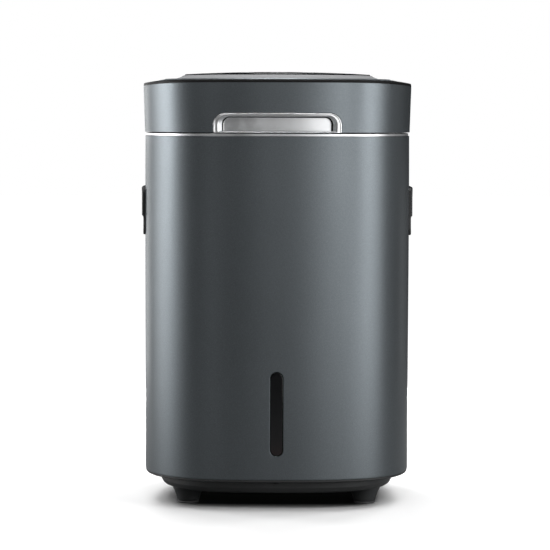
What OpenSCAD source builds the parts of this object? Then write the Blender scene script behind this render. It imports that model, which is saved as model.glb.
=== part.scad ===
// Electric food waste composter: a free-standing bin with a hinged lid, a heated
// mixing tub, a geared paddle mixer, a blower with a carbon filter drawer at the
// back, and a motor that swings the lid. Millimetres, +Z up, front towards -Y.
// The origin is at floor level under the middle of the machine.

/* [Body] */
// Half width of the body at the seam, without the side grips
body_hw = 148.6; // [146:0.2:150]
// Half depth of the body at the seam
body_hd = 163.2; // [162:0.2:164]
// Squareness of the outline (2 is an ellipse, larger is squarer)
body_n = 3.0; // [2.9:0.05:3.4]
// Wall thickness of the outer shell
shell_t = 2.4; // [2:0.1:2.8]
// Height of the seam under the lid
seam_z = 407.3; // [406.8:0.1:407.6]
// Height of the lower edge of the shell
skirt_z = 35; // [34:0.5:36]
/* [Lid] */
// How far the lid flares out past the body at its top
lid_flare = 1.8; // [1:0.1:2]
// Height of the top edge of the lid band
lid_top_z = 468.2; // [467:0.1:469]
// Radius of the round control panel with its ring
panel_r = 115; // [105:1:118]
// Width of the finger recess in the lid, over its frame
grip_w = 139.2; // [120:0.2:142]
// Height of the frame of the finger recess above the floor
grip_top_z = 433.7; // [430:0.1:436]
/* [Tub] */
// Inner radius of the round bottom of the tub
tub_r = 101.5; // [96:0.5:101.5]
// Inner half width of the tub
tub_hw = 98; // [92:1:98]
// Wall thickness of the tub
tub_t = 2.5; // [2:0.1:2.5]
// Radius of the mixer shaft
shaft_r = 8; // [7:0.5:9]
// Number of mixer arms
arms = 5; // [3:1:5]
/* [Gears] */
// Tooth module of the mixer gears
mod_a = 2.5; // [2.5]
// Teeth on the main gear
main_teeth = 48; // [48]
// Teeth on the idler gear
idler_teeth = 36; // [36]
// Teeth on the motor pinion
pinion_teeth = 15; // [15]
// Tooth module of the lid gears
mod_b = 1.5; // [1.5]
// Teeth on the full circle of the lid sector
sector_teeth = 32; // [32]
// Teeth on the lid drive pinion
drive_teeth = 15; // [15]
/* [Hidden] */
$fn = 64;
eps = 0.01;

graphite = [0.22, 0.24, 0.25];
black = [0.06, 0.065, 0.07];
silver = [0.78, 0.79, 0.80];
steel = [0.62, 0.63, 0.65];
board = [0.08, 0.30, 0.18];
nylon = [0.86, 0.85, 0.80];

// heights
base_z = 17;
lid_z = seam_z + 3.2;
deck_z = seam_z - 7;
tub_top = deck_z - 0.3;
// mixer axis
mix_y = -37;
mix_z = 172;
tub_ro = tub_r + tub_t;
// mixer gear train: pinion place is chosen, the idler's follows from the two centre distances
pin_y = 92;
pin_z = 80;
ra = mod_a * main_teeth / 2;
ri = mod_a * idler_teeth / 2;
rp = mod_a * pinion_teeth / 2;
d1 = ra + ri;
d2 = ri + rp;
dd = norm([pin_y - mix_y, pin_z - mix_z]);
da = (d1 * d1 - d2 * d2 + dd * dd) / (2 * dd);
dh = sqrt(d1 * d1 - da * da);
ux = (pin_y - mix_y) / dd;
uz = (pin_z - mix_z) / dd;
idl_y = mix_y + da * ux + dh * uz;
idl_z = mix_z + da * uz - dh * ux;
th1 = atan2(idl_z - mix_z, idl_y - mix_y);
th2 = atan2(pin_z - idl_z, pin_y - idl_y);
ph_main = th1;
ph_idler = th1 + 180 + 180 / idler_teeth;
ph_pinion = th2 + 180 - ((ph_idler - th2) * idler_teeth / pinion_teeth + 180 / pinion_teeth);
gear_x0 = -121;
gear_x1 = -112;
// lid hinge and its drive
hinge_y = 146;
hinge_z = seam_z - 31.3;
drv_a = 200;
drv_d = mod_b * (sector_teeth + drive_teeth) / 2;
drv_y = hinge_y + drv_d * cos(drv_a);
drv_z = hinge_z + drv_d * sin(drv_a);
ph_sector = drv_a;
ph_drive = drv_a + 180 + 180 / drive_teeth;
// front window
win_z0 = 60;
win_z1 = 151.6;
win_w = 14;
// feet
foot_x = 98;
foot_y = 86;

// outline of the body, pulled in by d
function outline(d, k = 72) = [for (i = [0:k - 1]) let (t = 360 * i / k, c = cos(t), s = sin(t))
    [(body_hw - d) * sign(c) * pow(abs(c), 2 / body_n), (body_hd - d) * sign(s) * pow(abs(s), 2 / body_n)]];
// rounded rectangle about the origin
function rrect(w, h, r, k = 6) = [for (q = [0:3]) for (i = [0:k]) let (a = q * 90 + i * 90 / k,
    cx = (q == 0 || q == 3 ? 1 : -1) * (w / 2 - r), cy = (q < 2 ? 1 : -1) * (h / 2 - r)) [cx + r * cos(a), cy + r * sin(a)]];
// half angle of an involute tooth at radius r
function inva(a) = tan(a) * 180 / PI - a;
function half_tooth(z, m, r, bl) = let (pr = m * z / 2, rb = pr * cos(20))
    90 / z - bl / 2 / pr * 180 / PI + inva(20) - (r > rb ? inva(acos(rb / r)) : 0);
function gear_pts(z, m, ph, bl = 0.3) = let (pr = m * z / 2, ro = pr + 0.92 * m, rr = pr - 1.25 * m,
    rb = max(rr, pr * cos(20)), rs = [rr, rb + (pr - rb) * 0.35, pr + 0.25 * m, ro])
    [for (i = [0:z - 1]) for (s = [-1, 1]) for (j = [0:3]) let (r = rs[s < 0 ? j : 3 - j],
        a = ph + 360 * i / z + s * half_tooth(z, m, r, bl)) [r * cos(a), r * sin(a)]];

module slab(d, z0, z1) { translate([0, 0, z0]) linear_extrude(z1 - z0) polygon(outline(d)); }
module ring(d0, d1, z0, z1) { difference() { slab(d0, z0, z1); slab(d1, z0 - 1, z1 + 1); } }
module along_x(x0, x1) { translate([x0, 0, 0]) rotate([90, 0, 90]) linear_extrude(x1 - x0) children(); }
module along_y(y0, y1) { translate([0, y1, 0]) rotate([90, 0, 0]) linear_extrude(y1 - y0) children(); }
module rod_x(x0, x1, y, z, r) { translate([x0, y, z]) rotate([0, 90, 0]) cylinder(h = x1 - x0, r = r); }
module rod_y(y0, y1, x, z, r) { translate([x, y1, z]) rotate([90, 0, 0]) cylinder(h = y1 - y0, r = r); }
module rod_z(z0, z1, x, y, r) { translate([x, y, z0]) cylinder(h = z1 - z0, r = r); }
module box(x0, x1, y0, y1, z0, z1) { translate([x0, y0, z0]) cube([x1 - x0, y1 - y0, z1 - z0]); }

// ---- body ----
module outer_shell() {
    color(graphite) difference() {
        union() {
            ring(0.6, shell_t, skirt_z, skirt_z + 1.2);
            ring(0, shell_t, skirt_z + 1.2, seam_z);
        }
        box(-160, 160, -47.5, 47.5, 300, 346.5);
        along_y(-170, -150) translate([0, (win_z0 + win_z1) / 2]) polygon(rrect(win_w + 0.4, win_z1 - win_z0 + 0.4, 7));
        box(-66.4, 66.4, 120, 170, 183.6, 268.4);
        box(-75, 75, 120, 170, 48, 172);
    }
}
module rim_trim() {
    color(silver) union() {
        ring(1.5, 5, seam_z, seam_z + 2.5);
        ring(shell_t + 0.2, 4.6, seam_z - 2.8, seam_z);
    }
}
module top_deck() {
    color(black) difference() {
        slab(shell_t + 0.2, deck_z, deck_z + 4);
        translate([0, mix_y, deck_z - 1]) linear_extrude(8) polygon(rrect(2 * tub_hw, 2 * tub_r - 4, 12));
        for (s = [-1, 1]) box(s * 58 - 6.5, s * 58 + 6.5, 96, 153, deck_z - 1, deck_z + 5);
        box(38, 48, 118, 153, deck_z - 1, deck_z + 5);
    }
}
module base_tray() {
    color(black) difference() {
        union() {
            slab(26, base_z, base_z + 2);
            slab(22.6, base_z + 2, 31);
            slab(4.5, 30.6, 32.5);
            slab(1.2, 32.5, skirt_z);
        }
        slab(25.6, base_z + 3, 40);
        for (x = [-foot_x, foot_x], y = [-foot_y, foot_y]) rod_z(10, 24, x, y, 2.2);
        for (x = [-90, 0, 90]) for (s = [-1, 1]) rod_z(25, 40, x, s * (x == 0 ? 149 : 127), 2);
    }
}
module foot() {
    // tapered foot with a flared collar, hollow for its screw
    difference() {
        rotate_extrude() polygon([[0, 2.4], [11.6, 2.4], [13.2, 12.4], [16.4, 14.6], [16.4, base_z], [0, base_z]]);
        rod_z(-1, 12, 0, 0, 4.6);
        rod_z(-1, 20, 0, 0, 2.2);
    }
}
module foot_front_left() { color(black) translate([-foot_x, -foot_y, 0]) foot(); }
module foot_front_right() { color(black) translate([foot_x, -foot_y, 0]) foot(); }
module foot_rear_left() { color(black) translate([-foot_x, foot_y, 0]) foot(); }
module foot_rear_right() { color(black) translate([foot_x, foot_y, 0]) foot(); }
module foot_pads() {
    color([0.16, 0.16, 0.16]) for (x = [-foot_x, foot_x], y = [-foot_y, foot_y]) translate([x, y, 0]) difference() {
        rotate_extrude() polygon([[0, 0], [10.8, 0], [11.8, 0.8], [11.8, 2.4], [0, 2.4]]);
        rod_z(-1, 4, 0, 0, 4.6);
    }
}
module screw(h, r, hr) { union() { cylinder(h = h, r = r); translate([0, 0, -2]) cylinder(h = 2, r = hr); } }
module foot_screws() {
    color(steel) for (x = [-foot_x, foot_x], y = [-foot_y, foot_y]) translate([x, y, 12]) screw(9.5, 1.9, 3.6);
}
module base_screws() {
    color(steel) for (x = [-90, 0, 90]) for (s = [-1, 1]) translate([x, s * (x == 0 ? 149 : 127), x == 0 ? 30.6 : 30.6]) screw(8, 1.7, 3.4);
}
module side_grip() {
    // bezel that stands proud of the shell, and the finger pocket behind it (right-hand side)
    difference() {
        union() {
            intersection() {
                ring(-4.2, 0, 296.4, 350.2);
                union() {
                    box(100, 160, -55, 55, 317.3, 350.2);
                    box(100, 151.6, -55, 55, 296.4, 317.3);
                }
            }
            intersection() {
                slab(-0.6, 300.2, 346.3);
                box(119, 160, -47.3, 47.3, 300.2, 346.3);
            }
        }
        box(121, 170, -45, 45, 302.6, 343.8);
    }
}
module grip_right() { color(black) side_grip(); }
module grip_left() { color(black) mirror([1, 0, 0]) side_grip(); }
module sensor_window() {
    zc = (win_z0 + win_z1) / 2;
    color([0.03, 0.03, 0.035]) union() {
        intersection() {
            along_y(-170, -150) translate([0, zc]) polygon(rrect(win_w, win_z1 - win_z0, 6.95));
            ring(0.7, 3.2, 0, 200);
        }
        along_y(-160.4, -157.8) translate([0, zc]) polygon(rrect(win_w + 6, win_z1 - win_z0 + 6, 9));
    }
}
module sensor_board() {
    color(board) union() {
        box(-11, 11, -153.6, -152, 58, 154);
        for (z = [70, 82]) rod_y(-157.2, -153.4, 0, z, 2.6);
        box(-5, 5, -156.2, -153.4, 128, 138);
        box(-8, 8, -152.2, -148, 96, 108);
        for (s = [-1, 1]) box(s * 9.5 - 1.5, s * 9.5 + 1.5, -157.8, -153.4, 56, 60);
    }
}

// ---- tub and mixer ----
module tub() {
    color([0.55, 0.56, 0.57]) difference() {
        union() {
            rod_x(-tub_hw - tub_t, tub_hw + tub_t, mix_y, mix_z, tub_ro, $fn = 128);
            box(-tub_hw - tub_t, tub_hw + tub_t, mix_y - tub_ro, mix_y + tub_ro, mix_z, tub_top);
            intersection() {
                box(-tub_hw - 7, tub_hw + 7, mix_y - tub_ro - 5, mix_y + tub_ro + 5, tub_top - 3, tub_top);
                slab(4, tub_top - 3, tub_top);
            }
        }
        rod_x(-tub_hw, tub_hw, mix_y, mix_z, tub_r, $fn = 128);
        box(-tub_hw, tub_hw, mix_y - tub_r, mix_y + tub_r, mix_z, tub_top + 1);
        rod_x(-120, 120, mix_y, mix_z, shaft_r + 2.5);
        // air port in the rear wall
        rod_y(mix_y + tub_r - 2, mix_y + tub_ro + 2, 0, 322, 19);
        rod_y(mix_y + tub_r - 2, mix_y + tub_ro + 2, 62, 352, 3.2);
    }
}
module tub_heater() {
    color([0.75, 0.45, 0.12]) translate([-80, mix_y, mix_z]) rotate([90, 0, 90]) rotate_extrude(angle = 130, start = 205, $fn = 128)
        translate([tub_ro + 0.1, 0]) square([1.2, 160]);
}
module cradle() {
    // upright plate with feet that carries the round bottom of the tub
    difference() {
        union() {
            box(-2, 2, mix_y - 84, mix_y + 76, skirt_z, 118);
            box(-9, 9, mix_y - 84, mix_y + 76, skirt_z, skirt_z + 3);
        }
        rod_x(-3, 3, mix_y, mix_z, tub_ro + 0.1, $fn = 128);
        rod_x(-3, 3, mix_y, 52, 8);
    }
}
module cradle_left() { color(steel) translate([-89, 0, 0]) cradle(); }
module cradle_right() { color(steel) translate([89, 0, 0]) cradle(); }
module mixer_shaft() {
    color(steel) union() {
        rod_x(-123.5, 108, mix_y, mix_z, shaft_r);
        rod_x(-126, -123.5, mix_y, mix_z, shaft_r + 2);
    }
}
module arm(k) {
    x = (k - (arms - 1) / 2) * 150 / (arms - 1);
    translate([x, mix_y, mix_z]) rotate([k * 144, 0, 0]) difference() {
        union() {
            rotate([0, 90, 0]) cylinder(h = 16, r = 14, center = true);
            box(-3, 3, -6, 6, 12, 92);
            rotate([0, 0, 28]) box(-15, 15, -3, 3, 68, 95);
        }
        rotate([0, 90, 0]) cylinder(h = 30, r = shaft_r, center = true);
    }
}
module mixer_paddles() { color(steel) for (k = [0:arms - 1]) arm(k); }
module bearing(s) {
    difference() {
        union() {
            rod_x(min(s * (tub_hw + tub_t), s * 106.4), max(s * (tub_hw + tub_t), s * 106.4), mix_y, mix_z, 15);
            rod_x(min(s * (tub_hw + tub_t), s * 103), max(s * (tub_hw + tub_t), s * 103), mix_y, mix_z, 21);
        }
        rod_x(-130, 130, mix_y, mix_z, shaft_r + 0.05);
    }
}
module bearing_left() { color([0.72, 0.6, 0.3]) bearing(-1); }
module bearing_right() {
    color([0.72, 0.6, 0.3]) union() {
        bearing(1);
        rod_x(108.2, 110.5, mix_y, mix_z, 15);
        difference() { rod_x(106.4, 108.2, mix_y, mix_z, 15); rod_x(106, 109, mix_y, mix_z, 9); }
    }
}
module shaft_seals() {
    color([0.15, 0.15, 0.16]) for (s = [-1, 1]) difference() {
        rod_x(min(s * tub_hw, s * (tub_hw + tub_t)), max(s * tub_hw, s * (tub_hw + tub_t)), mix_y, mix_z, shaft_r + 2.5);
        rod_x(-130, 130, mix_y, mix_z, shaft_r + 0.08);
    }
}
module gear_x(z, m, ph, x0, x1, y, zz, bore) {
    difference() {
        translate([0, y, zz]) along_x(x0, x1) polygon(gear_pts(z, m, ph));
        rod_x(x0 - 1, x1 + 1, y, zz, bore);
    }
}
module main_gear() {
    color(nylon) difference() {
        union() {
            gear_x(main_teeth, mod_a, ph_main, gear_x0, gear_x1, mix_y, mix_z, shaft_r);
            difference() { rod_x(gear_x0 - 2, gear_x1 + 2, mix_y, mix_z, 14); rod_x(-130, -100, mix_y, mix_z, shaft_r); }
        }
        for (k = [0:4]) translate([0, mix_y, mix_z]) rotate([k * 72, 0, 0]) rod_x(gear_x0 - 1, gear_x1 + 1, 34, 0, 12);
    }
}
module idler_gear() {
    color(nylon) difference() {
        union() {
            gear_x(idler_teeth, mod_a, ph_idler, gear_x0, gear_x1, idl_y, idl_z, 5);
            rod_x(gear_x0 - 1, gear_x1 + 1.5, idl_y, idl_z, 10);
        }
        rod_x(-130, -100, idl_y, idl_z, 5.06);
        for (k = [0:4]) translate([0, idl_y, idl_z]) rotate([k * 72, 0, 0]) rod_x(gear_x0 - 2, gear_x1 + 1, 24, 0, 8);
    }
}
module idler_axle() {
    color(steel) union() {
        rod_x(gear_x0 - 2.5, -106.9, idl_y, idl_z, 5);
        rod_x(gear_x0 - 4, gear_x0 - 2.2, idl_y, idl_z, 7.5);
    }
}
module motor_pinion() {
    color(nylon) union() {
        translate([0, pin_y, pin_z]) along_x(gear_x0, gear_x1) polygon(gear_pts(pinion_teeth, mod_a, ph_pinion));
        rod_x(-124, -85, pin_y, pin_z, 5);
    }
}
module gear_motor() {
    color(steel) difference() {
        union() {
            rod_x(-106.9, -74, pin_y, pin_z, 22);
            rod_x(-74, -20, pin_y, pin_z, 19);
            rod_x(-20, -17, pin_y, pin_z, 8);
            box(-72, -50, pin_y + 16, pin_y + 22, pin_z - 8, pin_z + 8);
        }
        rod_x(-110, -84, pin_y, pin_z, 5.08);
    }
}
module gear_plate() {
    color(steel) difference() {
        union() {
            box(-109.5, -107, -68, 114, 36, 118);
            box(-109.5, -107, -68, 20, 118, 208);
            box(-106.9, -98, -40, 60, 35, 37.5);
            box(-109.5, -98, -40, 60, 35, 37.5);
        }
        rod_x(-112, -105, mix_y, mix_z, 15.5);
        rod_x(-112, -105, pin_y, pin_z, 8);
        rod_x(-112, -105, idl_y, idl_z, 5);
        for (y = [-55, 5]) rod_x(-112, -105, y, 195, 2.2);
        for (k = [45:90:315]) rod_x(-112, -105, pin_y + 17 * cos(k), pin_z + 17 * sin(k), 1.8);
    }
}

// ---- air path ----
blow_z = 316;
module blower_housing() {
    color([0.12, 0.12, 0.13]) difference() {
        union() {
            rod_y(72, 98, 0, blow_z, 38);
            box(10, 38, 72, 98, 271.4, blow_z);
            for (a = [35, 145]) rod_y(72, 80, 42 * cos(a), blow_z + 42 * sin(a), 6);
        }
        rod_y(74, 96, 0, blow_z, 36);
        box(12, 36, 74, 96, 260, blow_z);
        rod_y(70, 75, 0, blow_z + 6, 19);
        for (a = [35, 145]) rod_y(70, 82, 44 * cos(a), blow_z + 44 * sin(a), 2);
        rod_y(94, 100, 0, blow_z, 3.06);
    }
}
module blower_impeller() {
    color([0.2, 0.2, 0.21]) union() {
        rod_y(91, 93.5, 0, blow_z, 31);
        rod_y(81, 91.5, 0, blow_z, 10);
        rod_y(93, 102, 0, blow_z, 3);
        for (k = [0:17]) translate([0, 0, blow_z]) rotate([0, k * 20, 0]) rotate([0, 0, 0])
            translate([0, 0, 27]) rotate([0, 32, 0]) box(-0.7, 0.7, 77, 91.5, -5.5, 4.5);
    }
}
module air_collar() {
    color([0.15, 0.15, 0.16]) difference() {
        rod_y(mix_y + tub_ro, 71.9, 0, 322, 24);
        rod_y(60, 80, 0, 322, 19);
    }
}
module filter_bay() {
    color([0.13, 0.13, 0.14]) difference() {
        box(-62, 62, 81, 150, 181, 271);
        box(-59.6, 59.6, 83.4, 155, 183.6, 268.6);
        box(12, 36, 82, 97.6, 260, 275);
        for (k = [-3:3]) box(k * 15 - 4.5, k * 15 + 4.5, 95, 138, 178, 190);
    }
}
module filter_drawer() {
    color([0.16, 0.17, 0.18]) union() {
        // curved front panel with its finger pocket
        difference() {
            union() {
                intersection() { ring(0, shell_t, 184.2, 267.8); box(-65.9, 65.9, 120, 170, 184.2, 267.8); }
                box(-34, 34, 141, 162, 236, 262);
            }
            box(-31, 31, 144, 175, 239, 259);
        }
        // tray
        difference() {
            box(-58.6, 58.6, 84.4, 143, 184.6, 262);
            box(-56.4, 56.4, 86.6, 140.8, 187, 270);
            for (k = [-3:3]) box(k * 15 - 4.5, k * 15 + 4.5, 95, 136, 180, 190);
        }
        for (s = [-1, 1]) box(min(s * 55, s * 58.6), max(s * 55, s * 58.6), 142.5, 160, 196, 230);
    }
}
module carbon_pack() {
    color([0.05, 0.05, 0.05]) box(-56, 56, 87, 140.4, 187.1, 254);
}
module rear_panel() {
    color([0.1, 0.1, 0.11]) difference() {
        box(-79, 79, 147.2, 150.2, 42, 178);
        for (k = [0:5]) box(-46, 46, 140, 155, 122 + k * 8, 126 + k * 8);
        box(34.4, 65.6, 140, 155, 66.4, 89.6);
        box(-8.2, 8.2, 140, 155, 66.4, 89.6);
        for (x = [-74, 74]) for (z = [46, 174]) rod_y(140, 155, x > 0 ? x - 2 : x + 2, z, 1.6);
    }
}
module power_inlet() {
    color([0.05, 0.05, 0.055]) union() {
        difference() {
            union() {
                box(34.6, 65.4, 130, 150.3, 66.6, 89.4);
                box(30, 70, 150.2, 152.4, 63, 93);
            }
            box(37, 63, 136, 160, 69.5, 86.5);
        }
        box(49, 51, 134, 148, 73, 77);
        for (s = [-1, 1]) box(50 + s * 7 - 1, 50 + s * 7 + 1, 134, 148, 78.5, 82.5);
    }
}
sw_y = 148;
module power_switch() {
    color([0.08, 0.08, 0.085]) union() {
        translate([0, sw_y, 78]) difference() {
            along_x(-7.2, 7.2) polygon([[-5, -7], [2.2, -10.6], [5.6, -10.2], [3.4, 0], [4.4, 10.6], [1.2, 10.8], [-5, 7]]);
            rod_x(-10, 10, 0, 0, 1.56);
        }
    }
}
module power_board() {
    color(board) union() {
        box(8, 104, 84, 85.6, 44, 112);
        box(16, 46, 85.5, 112, 50, 76);
        box(56, 70, 85.5, 104, 52, 64);
        rod_y(85.5, 110, 84, 92, 8);
        rod_y(85.5, 106, 64, 94, 7);
        box(18, 40, 85.5, 98, 88, 104);
        for (x = [10, 100]) box(x - 3, x + 3, 72, 84.1, skirt_z, 50);
        box(7, 103, 72, 84.1, skirt_z, skirt_z + 2.4);
    }
}
module humidity_sensor() {
    color([0.85, 0.85, 0.83]) union() {
        rod_y(mix_y + tub_r - 1, mix_y + tub_ro, 62, 352, 3.15);
        box(54, 70, mix_y + tub_ro, mix_y + tub_ro + 8, 342, 362);
    }
}

// ---- lid hinge and drive ----
module hinge_bracket(s) {
    difference() {
        union() {
            box(s * 72 - 4, s * 72 + 4, hinge_y - 8, hinge_y + 5, hinge_z - 10, deck_z);
            box(s * 72 - 9, s * 72 + 9, hinge_y - 22, hinge_y + 4, deck_z - 3, deck_z);
        }
        rod_x(-100, 100, hinge_y, hinge_z, 4.05);
    }
}
module hinge_bracket_left() { color(steel) hinge_bracket(-1); }
module hinge_bracket_right() { color(steel) hinge_bracket(1); }
module hinge_shaft() { color(steel) rod_x(-77, 77, hinge_y, hinge_z, 4); }
module hinge_arm(s) {
    top = lid_z + 4.3;
    difference() {
        union() {
            box(s * 58 - 4, s * 58 + 4, 99, hinge_y, hinge_z - 5, hinge_z + 5);
            box(s * 58 - 4, s * 58 + 4, 99, 109, hinge_z - 5, top + 3);
            rod_x(s * 58 - 5.5, s * 58 + 5.5, hinge_y, hinge_z, 8);
            box(s * 58 - 12, s * 58 + 12, 90, 124, top, top + 3.2);
        }
        rod_x(-100, 100, hinge_y, hinge_z, 4);
        for (y = [94.5, 119]) rod_z(top - 1, top + 5, s * 58, y, 1.8);
    }
}
module hinge_arm_left() { color(steel) hinge_arm(-1); }
module hinge_arm_right() { color(steel) hinge_arm(1); }
module lid_sector() {
    color(nylon) difference() {
        union() {
            translate([0, hinge_y, hinge_z]) intersection() {
                along_x(40, 46) polygon(gear_pts(sector_teeth, mod_b, ph_sector));
                along_x(39, 47) polygon([[0, 0], [60 * cos(188), 60 * sin(188)], [60 * cos(215), 60 * sin(215)],
                    [60 * cos(255), 60 * sin(255)], [60 * cos(297), 60 * sin(297)]]);
            }
            rod_x(38, 48, hinge_y, hinge_z, 9);
        }
        rod_x(30, 60, hinge_y, hinge_z, 4);
    }
}
module lid_pinion() {
    color(nylon) union() {
        translate([0, drv_y, drv_z]) along_x(39.5, 46.5) polygon(gear_pts(drive_teeth, mod_b, ph_drive));
        rod_x(30, 50, drv_y, drv_z, 3);
    }
}
module lid_motor() {
    color(steel) difference() {
        union() {
            rod_x(-14, 38, drv_y, drv_z, 14);
            rod_x(-17, -14, drv_y, drv_z, 6);
            for (y = [-1, 1]) box(4, 20, drv_y + y * 16 - 4, drv_y + y * 16 + 4, drv_z + 8, deck_z - 0.02);
            box(4, 20, drv_y - 20, drv_y + 20, drv_z + 13, drv_z + 16);
        }
        rod_x(28, 40, drv_y, drv_z, 3.06);
    }
}

// ---- lid ----
module grip_outline(g, top) {
    // inverted U of the finger recess, grown by g, from the lid's lower edge up to top + g
    w = grip_w / 2 + g;
    r = 12 + g;
    polygon(concat([[w, lid_z], [w, top + g - r]], [for (i = [1:8]) [w - r + r * cos(i * 11.25), top + g - r + r * sin(i * 11.25)]],
        [for (i = [0:8]) [-w + r + r * cos(90 + i * 11.25), top + g - r + r * sin(90 + i * 11.25)]], [[-w, lid_z]]));
}
module lid_shell() {
    color(graphite) difference() {
        union() {
            ring(-0.6, shell_t - 0.4, lid_z, lid_z + 24);
            ring(-1.2, shell_t - 0.4, lid_z + 24, lid_z + 40);
            ring(-lid_flare, shell_t - 0.4, lid_z + 40, lid_top_z - 4);
            ring(-lid_flare + 1.2, shell_t - 0.4, lid_top_z - 4, lid_top_z - 1.4);
            ring(-lid_flare + 3.4, 6, lid_top_z - 1.4, lid_top_z);
            ring(shell_t - 1, 12, lid_top_z - 4.4, lid_top_z - 1.4);
        }
        along_y(-175, -140) grip_outline(-2.6, grip_top_z);
    }
}
module lid_rim_ring() { color(black) ring(6.1, 8, lid_top_z - 1.4, lid_top_z + 1.5); }
module lid_cover() {
    color([0.05, 0.055, 0.06]) union() {
        slab(8.1, lid_top_z - 1.4, lid_top_z + 1.2);
        translate([0, 0, lid_top_z + 1.2]) cylinder(h = 0.9, r = 128, $fn = 128);
        translate([0, 0, lid_top_z + 2.1]) cylinder(h = 0.7, r = 119, $fn = 128);
    }
}
ring_z = lid_top_z + 2.8;
module panel_ring() {
    color([0.6, 0.6, 0.6]) rotate_extrude($fn = 128) polygon([[100, ring_z], [panel_r, ring_z], [panel_r - 1.2, ring_z + 1.6],
        [panel_r - 6, ring_z + 4.4], [panel_r - 10, ring_z + 5.4], [panel_r - 10, ring_z + 3.6], [100, ring_z + 3.6]]);
}
module panel_glass() {
    // shallow dome: edge at ring height, crown 1.6 mm higher
    rc = panel_r - 10.2;
    color([0.03, 0.03, 0.035]) rotate_extrude($fn = 128) polygon(concat([[0, ring_z + 3.7], [rc, ring_z + 3.7]],
        [for (i = [0:8]) [rc * (1 - i / 8), ring_z + 6.4 + 1.6 * (1 - pow(1 - i / 8, 2))]]));
}
module touch_board() {
    color(board) union() {
        rod_z(lid_top_z - 6, lid_top_z - 4.4, 0, 0, 84);
        for (k = [0:3]) rotate([0, 0, 45 + k * 90]) translate([56, 0, lid_top_z - 4.6]) cylinder(h = 3.1, r = 6);
        box(-20, 20, -14, 14, lid_top_z - 12, lid_top_z - 5.9);
        box(30, 52, -8, 8, lid_top_z - 14, lid_top_z - 5.9);
    }
}
liner_z = lid_z + 1.5;
module lid_liner() {
    color([0.2, 0.2, 0.21]) difference() {
        union() {
            intersection() { slab(2.6, liner_z, liner_z + 2.5); box(-160, 160, -170, 134, 0, 500); }
            translate([0, mix_y, deck_z + 6]) linear_extrude(liner_z - deck_z - 5) polygon(rrect(208, 209, 24));
        }
        translate([0, mix_y, deck_z + 8]) linear_extrude(20) polygon(rrect(203, 204, 22));
        box(-70, 70, -175, -142.2, 400, 430);
        for (s = [-1, 1]) box(s * 58 - 5, s * 58 + 5, 97.5, 110.5, 400, 430);
        for (s = [-1, 1]) for (y = [94.5, 119]) rod_z(400, 430, s * 58, y, 1.5);
    }
}
module lid_gasket() {
    color([0.3, 0.3, 0.31]) translate([0, mix_y, deck_z + 4.35]) difference() {
        linear_extrude(1.65) polygon(rrect(207, 208, 23));
        translate([0, 0, -1]) linear_extrude(4) polygon(rrect(198.6, 201.6, 14));
    }
}
module grip_cup() {
    color(silver) difference() {
        intersection() {
            along_y(-175, -144.4) grip_outline(-2.7, grip_top_z);
            slab(-0.55, 400, 440);
        }
        difference() {
            along_y(-175, -146) grip_outline(-5.2, grip_top_z);
            box(-80, 80, -180, -100, 400, lid_z + 1.4);
        }
    }
}
module grip_frame() {
    color(silver) intersection() {
        difference() {
            along_y(-175, -140) grip_outline(0, grip_top_z);
            along_y(-176, -139) translate([0, -0.1]) grip_outline(-3.3, grip_top_z);
            box(-80, 80, -180, -100, 400, lid_z + 0.05);
        }
        ring(-lid_flare, -0.62, 400, 440);
    }
}
module lid_screws() {
    top = lid_z + 7.5;
    color(steel) for (s = [-1, 1]) for (y = [94.5, 119]) translate([s * 58, y, top]) rotate([180, 0, 0]) screw(8, 1.45, 3.2);
}

outer_shell();
rim_trim();
top_deck();
base_tray();
foot_front_left();
foot_front_right();
foot_rear_left();
foot_rear_right();
foot_pads();
foot_screws();
base_screws();
grip_left();
grip_right();
sensor_window();
sensor_board();
tub();
tub_heater();
cradle_left();
cradle_right();
mixer_shaft();
mixer_paddles();
bearing_left();
bearing_right();
shaft_seals();
main_gear();
idler_gear();
idler_axle();
motor_pinion();
gear_motor();
gear_plate();
blower_housing();
blower_impeller();
air_collar();
filter_bay();
filter_drawer();
carbon_pack();
rear_panel();
power_inlet();
power_switch();
power_board();
humidity_sensor();
hinge_bracket_left();
hinge_bracket_right();
lid_motor();
lid_pinion();
lid_sector();
hinge_shaft();
hinge_arm_left();
hinge_arm_right();
lid_shell();
lid_rim_ring();
lid_cover();
panel_ring();
panel_glass();
touch_board();
lid_liner();
lid_gasket();
grip_cup();
grip_frame();
lid_screws();
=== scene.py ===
"""Looks of the food waste composter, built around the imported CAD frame. Metres, front towards -Y."""

import bpy
import bmesh
import math
import numpy as np
from mathutils import Matrix, Vector
from mathutils.geometry import delaunay_2d_cdt


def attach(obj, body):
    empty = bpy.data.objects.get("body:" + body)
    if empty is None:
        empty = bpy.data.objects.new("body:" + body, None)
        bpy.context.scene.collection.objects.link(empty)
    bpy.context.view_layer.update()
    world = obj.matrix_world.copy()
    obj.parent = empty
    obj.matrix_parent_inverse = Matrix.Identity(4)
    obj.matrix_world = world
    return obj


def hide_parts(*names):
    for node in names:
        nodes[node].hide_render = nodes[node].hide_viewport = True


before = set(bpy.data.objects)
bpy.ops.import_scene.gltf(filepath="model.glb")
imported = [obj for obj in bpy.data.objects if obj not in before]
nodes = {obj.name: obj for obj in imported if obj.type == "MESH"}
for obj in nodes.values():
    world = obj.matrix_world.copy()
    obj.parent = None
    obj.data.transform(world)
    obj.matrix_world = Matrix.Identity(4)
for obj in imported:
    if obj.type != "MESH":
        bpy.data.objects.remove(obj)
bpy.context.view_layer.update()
scene = bpy.context.scene
MM = 0.001
ROLL = 0.17

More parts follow.
